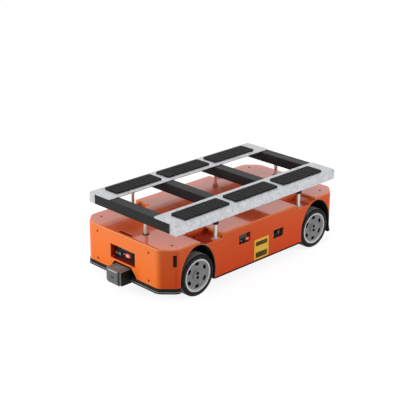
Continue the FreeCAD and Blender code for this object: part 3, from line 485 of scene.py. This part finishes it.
def scanner_shell():
    """Dark moulded case, with painted light on its top and front, painted highlights along its edges and
    painted shade in its grooves.
    """
    look = Surface("scanner_shell")
    soft = look.soft_normal(radius=0.0036)
    fine = look.noise(waves=1700.0, detail=3.0)
    patches = look.noise(waves=26.0, detail=4.0)
    turned_to = (0.45, 0.90)
    colour = look.mix(look.rising(patches), SHELL, SHELL_PALE)
    # Painted light: upward faces above the case's foot are paler, as if lit from above
    top = look.times(look.rising(look.axis(soft, Z), turned_to), look.rising(look.height(), SHELL_LIT_LEVEL))
    colour = look.mix(top, colour, SHELL_LIT_TOP)
    # Painted light: the faces turned forward are paler grey
    colour = look.mix(look.rising(look.axis(soft, X), turned_to), colour, SHELL_LIT_FRONT)
    # Painted shade: grooves and inner corners go back to the darkest tone
    groove_shade = look.hollow(reach=0.006)
    colour = look.mix(look.rising(groove_shade, window=(0.35, 0.60)), colour, SHELL)
    # Painted highlight: pale edges in patches, left out in the grooves
    edge_highlight_and_wear = look.span(look.noise(waves=70.0, detail=3.0), low=0.45, high=0.90)
    painted_edge_highlight = look.times(look.edge(soft, gain=12.0), edge_highlight_and_wear)
    colour = look.mix(look.times(painted_edge_highlight, look.falling(groove_shade, window=(0.05, 0.25))), colour, SHELL_HIGHLIGHT)
    return look.shade(Base_Color=colour, Roughness=look.uneven(patches, (0.42, 0.56), fine, swing=0.03),
                      Normal=look.bump(fine, depth=0.00005, normal=soft), Specular_IOR_Level=0.15)


def display_face():
    """Unlit display behind a clear sheet, with faint bare rows."""
    look = Surface("display_face")
    rows = look.ripple(look.height(), rate=2300.0)
    fine = look.noise(waves=700.0)
    colour = look.mix(look.rising(rows, window=(0.1, 0.6), share=0.7), DISPLAY, DISPLAY_ROW)
    colour = look.mix(look.rising(fine, share=0.3), colour, DISPLAY)
    return look.shade(Base_Color=colour, Roughness=look.span(fine, low=0.12, high=0.22),
                      Normal=look.soft_normal(radius=0.0008), Specular_IOR_Level=0.2,
                      Coat_Weight=0.25, Coat_Roughness=0.04)


def red_button():
    """Lit push button of clear red plastic, paler in the middle."""
    look = Surface("red_button")
    soft = look.soft_normal(radius=0.0015)
    fine = look.noise(waves=800.0)
    colour = look.mix(look.falling(look.from_middle(), window=(0.45, 0.80)), BUTTON_RED, BUTTON_PALE)
    return look.shade(Base_Color=colour, Roughness=look.span(fine, low=0.16, high=0.26),
                      Normal=look.bump(fine, depth=0.00001, normal=soft),
                      Emission_Color=colour, Emission_Strength=0.32)


# Plain materials: two tones, roughness, a grain by its waves in each metre and its depth, and the rest
GRAINED = {
    "black_steel": dict(tones=(BLACK_PAINT, BLACK_PAINT_PALE), rough=(0.38, 0.50), grain=900.0,
                        depth=0.00004, patch=2.0, edge_tone=BLACK_PAINT_EDGE, edge_share=0.6,
                        Specular_IOR_Level=0.15),
    "grey_steel": dict(tones=(STEEL_DARK, STEEL), rough=(0.30, 0.42), grain=500.0, depth=0.00002,
                       stretch=(0.05, 1.0, 1.0), edge_tone=ZINC, Metallic=0.85),
    "black_plastic": dict(tones=(PLASTIC, PLASTIC_PALE), rough=(0.50, 0.64), grain=1500.0, depth=0.00005,
                          patch=14.0, edge_tone=PLASTIC_PALE, edge_share=0.6, Specular_IOR_Level=0.2),
    # The scanner face's pale edges are a painted highlight
    "scanner_face": dict(tones=(FACE, FACE_PALE), rough=(0.28, 0.40), grain=1100.0, depth=0.00002,
                         patch=30.0, edge_tone=FACE_HIGHLIGHT, edge_share=1.6, edge_gain=9.0,
                         round_edge=0.0034, Specular_IOR_Level=0.3),
    "lamp_white": dict(tones=(LAMP_WARM, LAMP_WHITE), rough=(0.18, 0.30), grain=900.0, depth=0.00001,
                       Emission_Color=LAMP_WHITE, Emission_Strength=0.05),
    "lens_dark": dict(tones=(LENS, LENS_PALE), rough=(0.22, 0.32), grain=600.0, depth=0.00001, patch=60.0,
                      Specular_IOR_Level=0.08),
    # The yellow plate glows faintly, a painted light, since it is no lamp
    "yellow_paint": dict(tones=(YELLOW_DEEP, YELLOW), rough=(0.28, 0.40), grain=420.0, depth=0.00003,
                         patch=16.0, edge_tone=YELLOW_EDGE, edge_share=0.8, Specular_IOR_Level=0.35,
                         Emission_Color=YELLOW, Emission_Strength=0.11),
    "dark_screw": dict(tones=(SCREW, SCREW_PALE), rough=(0.36, 0.52), grain=900.0, depth=0.00002,
                       edge_tone=SCREW_PALE, edge_share=0.7, round_edge=0.0005, Metallic=0.6),
    "battery_case": dict(tones=(BATTERY, BATTERY_PALE), rough=(0.50, 0.62), grain=1200.0, depth=0.00005,
                         edge_tone=BATTERY_PALE),
    "aluminium": dict(tones=(ALUMINIUM_DULL, ALUMINIUM), rough=(0.32, 0.44), grain=700.0, depth=0.00003,
                      edge_tone=ALUMINIUM, Metallic=0.9),
    "socket_metal": dict(tones=(SOCKET_DULL, SOCKET), rough=(0.30, 0.42), grain=1000.0, depth=0.00002,
                         edge_tone=ZINC, edge_share=0.6, round_edge=0.0006, Metallic=0.8),
    "plate_bar": dict(tones=(BAR, BAR_PALE), rough=(0.34, 0.48), grain=900.0, depth=0.00003, patch=40.0,
                      edge_tone=BAR_PALE, edge_share=0.6, round_edge=0.0003, Specular_IOR_Level=0.08),
    # Near-black for pieces that stand in for shade, a painted shade
    "deep_black": dict(tones=(SHADE_BLACK, SHADE_BLACK_PALE), rough=(0.60, 0.72), grain=1200.0, depth=0.00004,
                       patch=50.0, Specular_IOR_Level=0.05),
    "red_surround": dict(tones=(SURROUND, SURROUND_PALE), rough=(0.20, 0.30), grain=900.0, depth=0.00001,
                         patch=60.0, edge_tone=SURROUND_PALE, edge_share=0.6, round_edge=0.0005,
                         Specular_IOR_Level=0.3),
}

# All materials, by their names
MATERIALS = {
    "orange_paint": orange_paint(),
    "zinc_steel": zinc_steel(),
    "chrome": chrome(),
    "rubber": rubber(),
    "tyre": tyre_rubber(),
    "hub_grey": hub_grey(),
    "scanner_shell": scanner_shell(),
    "display_face": display_face(),
    "red_button": red_button(),
}
for name, facts in GRAINED.items():
    MATERIALS[name] = grained(name, **facts)

# The cradle of the scanner has the look of its case, and the switch knob that of its panel
LOOKS = {"scanner_bracket": "scanner_shell", "switch_knob": "black_plastic"}

for row in frame["record"]["subparts"]:
    node = frame["nodes"][row["node"]]
    for holder in node.material_slots:
        holder.material = MATERIALS[LOOKS.get(row["node"], row["material_slot"])]

# Faces that meet at more than this angle have a sharp edge between them
SHARP_ANGLE = math.radians(38)


def linked(name, data):
    """New object in the scene."""
    made = bpy.data.objects.new(name, data)
    bpy.context.scene.collection.objects.link(made)
    return made


def as_object(name, shape):
    """New object made of a shape, which is freed."""
    mesh = bpy.data.meshes.new(name)
    shape.to_mesh(mesh)
    shape.free()
    return linked(name, mesh)


def piece(name, shape, material, body):
    """Link a shape as a piece of the object that rides on a body."""
    bmesh.ops.recalc_face_normals(shape, faces=shape.faces)
    made = as_object(name, shape)
    made.data.materials.append(MATERIALS[material])
    made.data.shade_smooth()
    made.data.set_sharp_from_angle(angle=SHARP_ANGLE)
    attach(made, body)
    return made


def outline(half_x, half_y, radius, steps=6):
    """Points of a rounded rectangle, from its middle."""
    points = []
    for i, (sx, sy) in enumerate(((1, 1), (-1, 1), (-1, -1), (1, -1))):
        for step in range(steps + 1):
            turn = math.radians(90 * (i + step / steps))
            points.append(Vector((sx * (half_x - radius) + radius * math.cos(turn),
                                  sy * (half_y - radius) + radius * math.sin(turn), 0)))
    return points


def raised(points, height):
    """Ring of points moved up by a height."""
    return [Vector((p.x, p.y, height)) for p in points]


def circle(radius, height, count):
    """Ring of points round the Z axis."""
    turns = [2 * math.pi * i / count for i in range(count)]
    return [Vector((radius * math.cos(t), radius * math.sin(t), height)) for t in turns]


def hexagon(across, height, count):
    """Ring of points on a hexagon of a width across its flats."""
    points = []
    for i in range(count):
        turn = 2 * math.pi * i / count
        part = (turn + math.pi / 6) % (math.pi / 3) - math.pi / 6
        reach = across / 2 / math.cos(part)
        points.append(Vector((reach * math.cos(turn), reach * math.sin(turn), height)))
    return points


def turned(profile, sides, radius=1.0, height=1.0):
    """Rings of a turned form, from a profile in parts of its radius and height."""
    return [circle(radius * wide, height * tall, sides) for wide, tall in profile]


def pad(foot, top, rise):
    """Rings of a low pad: half sizes and corner of its foot and top, and the heights of its edges."""
    edge = outline(*foot)
    return [edge, raised(edge, rise[0]), raised(outline(*top), rise[1])]


def facing(centre, out, up):
    """Matrix that sets a piece at a place, with its own Z pointing out."""
    turn = Matrix((up.cross(out), up, out)).transposed().to_4x4()
    return Matrix.Translation(centre) @ turn


def band(shape, lower, upper):
    """Band of faces between two rings of the same count."""
    count = len(lower)
    for i in range(count):
        after = (i + 1) % count
        shape.faces.new((lower[i], lower[after], upper[after], upper[i]))


def stack(shape, rings, place, cap_start=True, cap_end=True):
    """Skin through rings of points set by a placing matrix, closed by a cap at each end."""
    made = [[shape.verts.new(place @ point) for point in ring] for ring in rings]
    for lower, upper in zip(made, made[1:]):
        band(shape, lower, upper)
    if cap_start:
        shape.faces.new(list(reversed(made[0])))
    if cap_end:
        shape.faces.new(made[-1])
    return made


def loop(shape, rings, place):
    """Skin through rings of points, closed by a band from the last ring to the first."""
    made = stack(shape, rings, place, False, False)
    band(shape, made[-1], made[0])


# Screw heads: low and round with a hexagon socket, in parts of the head's radius, socket and height
HEAD_PROFILE = ((1.0, 0.0), (1.0, 0.45), (0.88, 0.8), (0.66, 1.0))
SOCKET_PROFILE = ((1.0, 1.0), (0.94, 0.35))
HEAD_SIDES = 24

# Cover screws
HEAD_RADIUS = 0.005
HEAD_HEIGHT = 0.002
HEAD_SOCKET = 0.0042
SCREW_SPAN = 0.179
SCREW_FROM_SKIRT = 0.022
SCREW_FROM_SEAM = 0.021
DECK_SCREW_INSET = (0.081, 0.057)
POCKET_SCREW = (0.343, 0.204)
POCKET_DEPTH = 0.023


def socket_head(radius, height, socket):
    """Rings of a round screw head with a hexagon socket."""
    sunk = [hexagon(socket * wide, height * tall, HEAD_SIDES) for wide, tall in SOCKET_PROFILE]
    return turned(HEAD_PROFILE, HEAD_SIDES, radius, height) + sunk


def screw_places():
    """Matrix that places each cover screw."""
    inset_x, inset_y = DECK_SCREW_INSET
    pocket_x, pocket_y = POCKET_SCREW
    places = []
    for side in (-1, 1):
        for level in (SKIRT + SCREW_FROM_SKIRT, SEAM - SCREW_FROM_SEAM):
            places.append(facing((BODY_FRONT, side * SCREW_SPAN, level), FORWARD, UP))
            places.append(facing((BODY_REAR, side * SCREW_SPAN, level), -FORWARD, UP))
        for x in (BODY_FRONT - inset_x, BODY_REAR + inset_x):
            places.append(facing((x, side * (BODY_HALF - inset_y), DECK), UP, FORWARD))
        for x in (MIDDLE - pocket_x, MIDDLE + pocket_x):
            places.append(facing((x, side * pocket_y, DECK - POCKET_DEPTH), UP, FORWARD))
    return places


def cover_screws():
    """All cover screws in one mesh."""
    shape = bmesh.new()
    rings = socket_head(HEAD_RADIUS, HEAD_HEIGHT, HEAD_SOCKET)
    for place in screw_places():
        stack(shape, rings, place)
    made = piece("cover_screw_heads", shape, "dark_screw", "chassis")
    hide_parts("cover_screws")


# Bare bars in the sunk fields of the side plate
PLATE_MARGIN = 0.0095
PLATE_FIELD = 0.0006
PLATE_BARS = ((0.0675, 0.0895), (0.0065, 0.035))
BAR_GAP = 0.0004
BAR_CORNER = 0.0015
BAR_SLOPE = 0.0003
BAR_RISE = (0.00024, 0.00042)


def plate_bars():
    """Two dark bars let into the side plate."""
    low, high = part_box("side_plate")
    half_x = (high.x - low.x) / 2 - PLATE_MARGIN - BAR_GAP
    shape = bmesh.new()
    for start, end in PLATE_BARS:
        half_z = (end - start) / 2 - BAR_GAP
        rings = pad((half_x, half_z, BAR_CORNER),
                    (half_x - BAR_SLOPE, half_z - BAR_SLOPE, BAR_CORNER - BAR_SLOPE), BAR_RISE)
        centre = ((low.x + high.x) / 2, high.y - PLATE_FIELD, low.z + (start + end) / 2)
        stack(shape, rings, facing(centre, LEFT, UP))
    piece("side_plate_bars", shape, "plate_bar", "chassis")


# Frames round the two displays, and red surrounds round the two buttons
FRAME_GAP = 0.0002
FRAME_SLOPE = 0.0007
DISPLAY_FRAME = {"width": 0.0024, "corner": 0.002, "height": 0.0038, "material": "black_plastic"}
DISPLAY_DEPTH = 0.003
FRONT_DISPLAY = {"middle": (0.0055, 0.1875), "size": (0.089, 0.016)}
SIDE_DISPLAY = {"middle": (MIDDLE + 0.102, 0.2085), "size": (0.056, 0.021)}
BUTTON_FRAME = {"width": 0.0045, "corner": 0.003, "height": 0.0012, "material": "red_surround"}
BUTTON_ROOM = 0.0006
BUTTON_PROUD = 0.006

# Each button with the axis that it is pushed along, the axis across it, and the way it faces
BUTTONS = {"front_button": (X, Y, FORWARD), "side_button": (Y, X, LEFT)}


def frame_round(name, centre, size, out, style):
    """Thin raised frame round a rounded rectangle."""
    half_x, half_y = (side / 2 + FRAME_GAP for side in size)
    wide = style["width"]
    top = style["height"]
    inner, slope, outer = (outline(half_x + grow, half_y + grow, style["corner"] + grow)
                           for grow in (0.0, wide - FRAME_SLOPE, wide))
    rings = [inner, outer, raised(outer, top - FRAME_SLOPE), raised(slope, top), raised(inner, top)]
    shape = bmesh.new()
    loop(shape, rings, facing(centre, out, UP))
    piece(name, shape, style["material"], "chassis")


def display_frames():
    """Frames of the front display and the side display."""
    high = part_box("panel_displays")[1]
    front = (high.x - DISPLAY_DEPTH, *FRONT_DISPLAY["middle"])
    frame_round("front_display_frame", front, FRONT_DISPLAY["size"], FORWARD, DISPLAY_FRAME)
    along, level = SIDE_DISPLAY["middle"]
    side = (along, high.y - DISPLAY_DEPTH, level)
    frame_round("side_display_frame", side, SIDE_DISPLAY["size"], LEFT, DISPLAY_FRAME)


def button_frames():
    """Red surrounds of the front button and the side button."""
    for name, (push, across, out) in BUTTONS.items():
        low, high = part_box(name)
        centre = (low + high) / 2
        centre[push] = high[push] - BUTTON_PROUD
        size = (high[across] - low[across] + 2 * BUTTON_ROOM, high.z - low.z + 2 * BUTTON_ROOM)
        frame_round(name + "_surround", centre, size, out, BUTTON_FRAME)


# Pins inside the two panel sockets
SOCKET_PLACES = (-0.068, -0.046)
SOCKET_LEVEL = 0.1555
PIN_PROFILE = ((1.0, 0.0), (1.0, 0.85), (0.7, 0.96), (0.3, 1.0))
PIN_RADIUS = 0.0007
PIN_RING = 0.0022
PIN_COUNT = 4
PIN_SIDES = 10
PIN_START = 1 / 3
PIN_REACH = 0.75


def socket_pins():
    """Small contact pins with tapered tips."""
    low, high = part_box("panel_sockets")
    base = low.x + (high.x - low.x) * PIN_START
    rings = turned(PIN_PROFILE, PIN_SIDES, PIN_RADIUS, (high.x - base) * PIN_REACH)
    shape = bmesh.new()
    for y in SOCKET_PLACES:
        for i in range(PIN_COUNT):
            turn = 2 * math.pi * (i + 0.5) / PIN_COUNT
            centre = (base, y + PIN_RING * math.cos(turn), SOCKET_LEVEL + PIN_RING * math.sin(turn))
            stack(shape, rings, facing(centre, FORWARD, UP))
    piece("socket_pins", shape, "chrome", "chassis")


# Each wheel with the side that its hub faces
WHEELS = {"fl": 1, "fr": -1, "rl": 1, "rr": -1}

# Dark bolts in the pin holes of each hub, with wide heads on the boss, whose near-black is partly a
# painted shade for the holes
BOLT_SHANK = 0.0052
BOLT_LENGTH = 0.0036
BOLT_RADIUS = 0.0078
BOLT_HEIGHT = 0.0022
BOLT_SOCKET = 0.0060
BOLT_OFFSET = 0.0105
BOLT_SEAT = 0.0027

# Near-black plate behind the holes of each hub, a painted shade for the view through them, as radius and
# height of its profile
BACK_PROFILE = ((0.0245, 0.0), (0.0701, 0.0), (0.0715, -0.0007), (0.0715, -0.0014), (0.0245, -0.0014))
BACK_SEAT = 0.0138
BACK_SIDES = 56


def hub_place(corner, side, sunk, rise=0.0):
    """Matrix that sets a piece in a hub's outer face, sunk by a depth."""
    low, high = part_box("wheel_hub_" + corner)
    middle = (low + high) / 2
    face = high.y if side > 0 else low.y
    return facing((middle.x, face - side * sunk, middle.z + rise), side * LEFT, UP)


def hub_bolts():
    """Two bolts in the middle of each wheel, which turn with it."""
    rings = [circle(BOLT_SHANK, -BOLT_LENGTH, HEAD_SIDES), circle(BOLT_SHANK, 0.0, HEAD_SIDES)]
    rings += socket_head(BOLT_RADIUS, BOLT_HEIGHT, BOLT_SOCKET)
    for corner, side in WHEELS.items():
        shape = bmesh.new()
        for rise in (-BOLT_OFFSET, BOLT_OFFSET):
            stack(shape, rings, hub_place(corner, side, BOLT_SEAT, rise))
        piece("hub_bolts_" + corner, shape, "deep_black", "wheel_" + corner)


def hub_shade_backs():
    """Near-black ring that closes the view through each wheel, a painted shade, and turns with it."""
    rings = turned(BACK_PROFILE, BACK_SIDES)
    for corner, side in WHEELS.items():
        shape = bmesh.new()
        loop(shape, rings, hub_place(corner, side, BACK_SEAT))
        piece("hub_shade_back_" + corner, shape, "deep_black", "wheel_" + corner)


# Near-black channel in the slot at the front of the deck, a painted shade for its walls, with ends that
# are almost half circles
SLOT_HALF = (0.0038, 0.0428)
SLOT_ROUND = 0.98
SLOT_INSET = 0.023
SLOT_WALL = 0.0008
SLOT_DEPTH = 0.008
SLOT_LIP = 0.0018
SLOT_LIP_RISE = (0.00024, 0.0004)


def slot_shade_liner():
    """Open-topped near-black channel that lines the slot and closes it from below, a painted shade for
    the slot.
    """
    half_x, half_y = SLOT_HALF
    inner, outer, lip = (outline(half_x + grow, half_y + grow, (half_x + grow) * SLOT_ROUND)
                         for grow in (-SLOT_WALL, 0.0, SLOT_LIP))
    edge, top = SLOT_LIP_RISE
    rings = [raised(inner, SLOT_WALL - SLOT_DEPTH), raised(inner, top), raised(lip, edge), lip, outer,
             raised(outer, -SLOT_DEPTH)]
    shape = bmesh.new()
    stack(shape, rings, Matrix.Translation((BODY_FRONT - SLOT_INSET, 0, DECK)))
    piece("slot_shade_liner", shape, "deep_black", "chassis")


# Near-black edge trim on the floor pan, under the side panels, partly a painted shade along their lower
# edge. Corners are parts of its half height
TRIM_CLEAR = 0.002
TRIM_PROUD = 0.0013
TRIM_SLOPE = 0.0004
TRIM_RISE = (0.0007, 0.0011)
TRIM_FOOT_CORNER = 0.5
TRIM_TOP_CORNER = 0.4


def edge_trim():
    """Thin strip along each side, between the wheel arches."""
    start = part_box("wheel_liner_rl")[1].x + TRIM_CLEAR
    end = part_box("wheel_liner_fl")[0].x - TRIM_CLEAR
    low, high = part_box("floor_pan")
    half_x = (end - start) / 2
    half_z = (high.z + TRIM_PROUD - low.z) / 2
    rings = pad((half_x, half_z, half_z * TRIM_FOOT_CORNER),
                (half_x - TRIM_SLOPE, half_z - TRIM_SLOPE, half_z * TRIM_TOP_CORNER), TRIM_RISE)
    shape = bmesh.new()
    for side in (-1, 1):
        centre = ((start + end) / 2, side * high.y, low.z + half_z)
        stack(shape, rings, facing(centre, side * LEFT, UP))
    piece("pan_edge_trim", shape, "deep_black", "chassis")


# Wiper rings on the guide bushes, round the posts, as radius and height of their profile
POST_RADIUS = 0.0085
WIPER_PROFILE = ((0.0092, 0.0), (0.0130, 0.0), (0.0130, 0.0026), (0.0120, 0.0044), (0.0104, 0.0050),
                 (0.0096, 0.0048))
WIPER_SIDES = 40


def post_wipers():
    """A bright ring at the foot of each post."""
    low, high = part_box("guide_posts")
    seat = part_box("guide_bushes")[1].z
    rings = turned(WIPER_PROFILE, WIPER_SIDES)
    shape = bmesh.new()
    for x in (low.x + POST_RADIUS, high.x - POST_RADIUS):
        for y in (low.y + POST_RADIUS, high.y - POST_RADIUS):
            loop(shape, rings, Matrix.Translation((x, y, seat)))
    piece("post_wipers", shape, "zinc_steel", "chassis")


# Ribs across the scanner's lid, placed by parts of its length
RIB_PLACES = (0.36, 0.56, 0.76)
RIB_FOOT = (0.0016, 0.024, 0.00144)
RIB_TOP = (0.00096, 0.02336, 0.0008)
RIB_RISE = (0.00108, 0.0018)

# Bare dark field on the scanner's face, and the bright chrome lip along the upper edge of that face,
# which puts a painted highlight there
FIELD_FOOT = (0.0095, 0.0030, 0.0020)
FIELD_TOP = (0.0090, 0.0025, 0.0015)
FIELD_RISE = (0.00025, 0.0005)
LIP_FOOT = (0.0310, 0.0018, 0.0012)
LIP_TOP = (0.0307, 0.0015, 0.0009)
LIP_RISE = (0.0003, 0.0006)
LIP_INSET = 0.001


def scanner_ribs():
    """Low ribs across the lid."""
    low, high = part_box("scanner_housing")
    rings = pad(RIB_FOOT, RIB_TOP, RIB_RISE)
    shape = bmesh.new()
    for share in RIB_PLACES:
        x = high.x + (low.x - high.x) * share
        stack(shape, rings, Matrix.Translation((x, (low.y + high.y) / 2, high.z)))
    piece("scanner_ribs", shape, "scanner_shell", "chassis")


def scanner_face():
    """Field in the middle of the window plate, and a slanted chrome lip on its upper edge, a painted
    highlight.
    """
    low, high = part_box("scanner_window")
    middle = (low + high) / 2
    shape = bmesh.new()
    centre = (high.x, middle.y, middle.z)
    stack(shape, pad(FIELD_FOOT, FIELD_TOP, FIELD_RISE), facing(centre, FORWARD, UP))
    piece("scanner_field", shape, "black_plastic", "chassis")
    shape = bmesh.new()
    centre = (high.x - LIP_INSET, middle.y, high.z - LIP_INSET)
    place = facing(centre, (UP + FORWARD) * DIAGONAL, (UP - FORWARD) * DIAGONAL)
    stack(shape, pad(LIP_FOOT, LIP_TOP, LIP_RISE), place)
    piece("scanner_highlight_lip", shape, "chrome", "chassis")


# Pale pointer on the grip of the switch knob
POINTER_FOOT = (0.0011, 0.0060, 0.00099)
POINTER_TOP = (0.00077, 0.0056, 0.00066)
POINTER_RISE = (0.0002, 0.0004)
POINTER_OFFSET = 0.0045


def knob_pointer():
    """Small raised line on the knob, which turns with it."""
    low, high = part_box("switch_knob")
    middle = (low + high) / 2
    shape = bmesh.new()
    centre = (middle.x, high.y, middle.z + POINTER_OFFSET)
    stack(shape, pad(POINTER_FOOT, POINTER_TOP, POINTER_RISE), facing(centre, LEFT, UP))
    # The pointer takes the lamp material, whose faint glow is a painted light here
    piece("knob_pointer", shape, "lamp_white", "switch_knob")


# Weld beads where the cross beams meet the rails
BEAD_RADIUS = 0.0026
BEAD_TIP = 0.00104
BEAD_RIPPLE = 0.0006
BEAD_STEP = 0.0028
BEAD_SIDES = 10
BEAM_PLACES = (-0.519, -0.170, 0.170, 0.519)
BEAM_HALF = 0.030


def bead_rings(height):
    """Rings of a rippled bead that ends inside a height."""
    last = int((height - 2 * BEAD_RADIUS) / BEAD_STEP) * 2
    rings = []
    for i in range(last + 1):
        radius = BEAD_RADIUS - (BEAD_RIPPLE if i % 2 else 0.0)
        if i in (0, last):
            radius = BEAD_TIP
        rings.append(circle(radius, BEAD_RADIUS + i * BEAD_STEP / 2, BEAD_SIDES))
    return rings


def weld_beads():
    """Rippled beads up the corners between beams and rails."""
    low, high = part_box("cross_beams")
    rings = bead_rings(high.z - low.z)
    shape = bmesh.new()
    for beam in BEAM_PLACES:
        for x in (MIDDLE + beam - BEAM_HALF, MIDDLE + beam + BEAM_HALF):
            for y in (low.y, high.y):
                stack(shape, rings, Matrix.Translation((x, y, low.z)))
    piece("frame_weld_beads", shape, "grey_steel", "lift")


# All pieces of these sections
cover_screws()
plate_bars()
display_frames()
button_frames()
socket_pins()
hub_bolts()
hub_shade_backs()
slot_shade_liner()
edge_trim()
post_wipers()
scanner_ribs()
scanner_face()
knob_pointer()
weld_beads()


def empty_tree(owner):
    """Node tree of a material or world, with nothing in it."""
    owner.use_nodes = True
    owner.node_tree.nodes.clear()
    return owner.node_tree


def new_node(tree, kind, **inputs):
    """New node with its own inputs set."""
    made = tree.nodes.new("ShaderNode" + kind)
    for key, value in inputs.items():
        made.inputs[key].default_value = value
    return made


def seen_rays(tree):
    """1 for a ray that shows the background itself or its reflection."""
    path = new_node(tree, "LightPath")
    total = path.outputs["Is Camera Ray"]
    for name in ("Is Glossy Ray", "Is Transmission Ray"):
        join = new_node(tree, "Math")
        join.operation = "MAXIMUM"
        tree.links.new(total, join.inputs[0])
        tree.links.new(path.outputs[name], join.inputs[1])
        total = join.outputs[0]
    return total


def choose_by_ray(tree, lighting, seen, kind):
    """Output of a kind with one shader that lights the object and another that is seen."""
    choice = new_node(tree, "MixShader")
    for source, socket in zip((seen_rays(tree), lighting.outputs[0], seen.outputs[0]), choice.inputs):
        tree.links.new(source, socket)
    tree.links.new(choice.outputs[0], new_node(tree, kind).inputs["Surface"])


def plain_floor():
    """Large pale floor that keeps the object's shadow."""
    shape = bmesh.new()
    stack(shape, [circle(FLOOR_HALF, 0.0, FLOOR_SIDES)], Matrix.Identity(4), cap_start=False)
    floor = as_object("floor", shape)
    material = bpy.data.materials.new("floor")
    tree = empty_tree(material)
    plain = new_node(tree, "BsdfDiffuse", Color=FLOOR_TONE)
    glow = new_node(tree, "Emission", Color=WHITE, Strength=FLOOR_GLOW)
    both = new_node(tree, "AddShader")
    for source, socket in zip((plain, glow), both.inputs):
        tree.links.new(source.outputs[0], socket)
    choose_by_ray(tree, plain, both, "OutputMaterial")
    floor.data.materials.append(material)


def backdrop():
    """World that lights the object softly and is seen as white."""
    world = bpy.data.worlds.new("studio")
    bpy.context.scene.world = world
    tree = empty_tree(world)
    dim = new_node(tree, "Background", Color=WHITE, Strength=AMBIENT)
    white = new_node(tree, "Background", Color=WHITE, Strength=BACKDROP)
    choose_by_ray(tree, dim, white, "OutputWorld")


def studio_lamps():
    """Soft area lamps that shine at the object."""
    for name, facts in LAMPS.items():
        data = bpy.data.lights.new(name, "AREA")
        data.energy = facts["power"]
        data.size = facts["size"]
        lamp = linked(name, data)
        lamp.location = facts["place"]
        lamp.visible_glossy = False
        lamp.rotation_euler = (LAMP_AIM - lamp.location).to_track_quat("-Z", "Y").to_euler()


def photo_camera():
    """Camera at the photograph's viewing angle."""
    data = bpy.data.cameras.new("camera")
    data.lens = CAMERA_LENS
    data.sensor_width = CAMERA_SENSOR
    camera = linked("camera", data)
    camera.location = CAMERA_PLACE
    camera.rotation_euler = CAMERA_TURN
    bpy.context.scene.camera = camera


plain_floor()
backdrop()
studio_lamps()
photo_camera()
bpy.context.scene.view_settings.view_transform = "Standard"
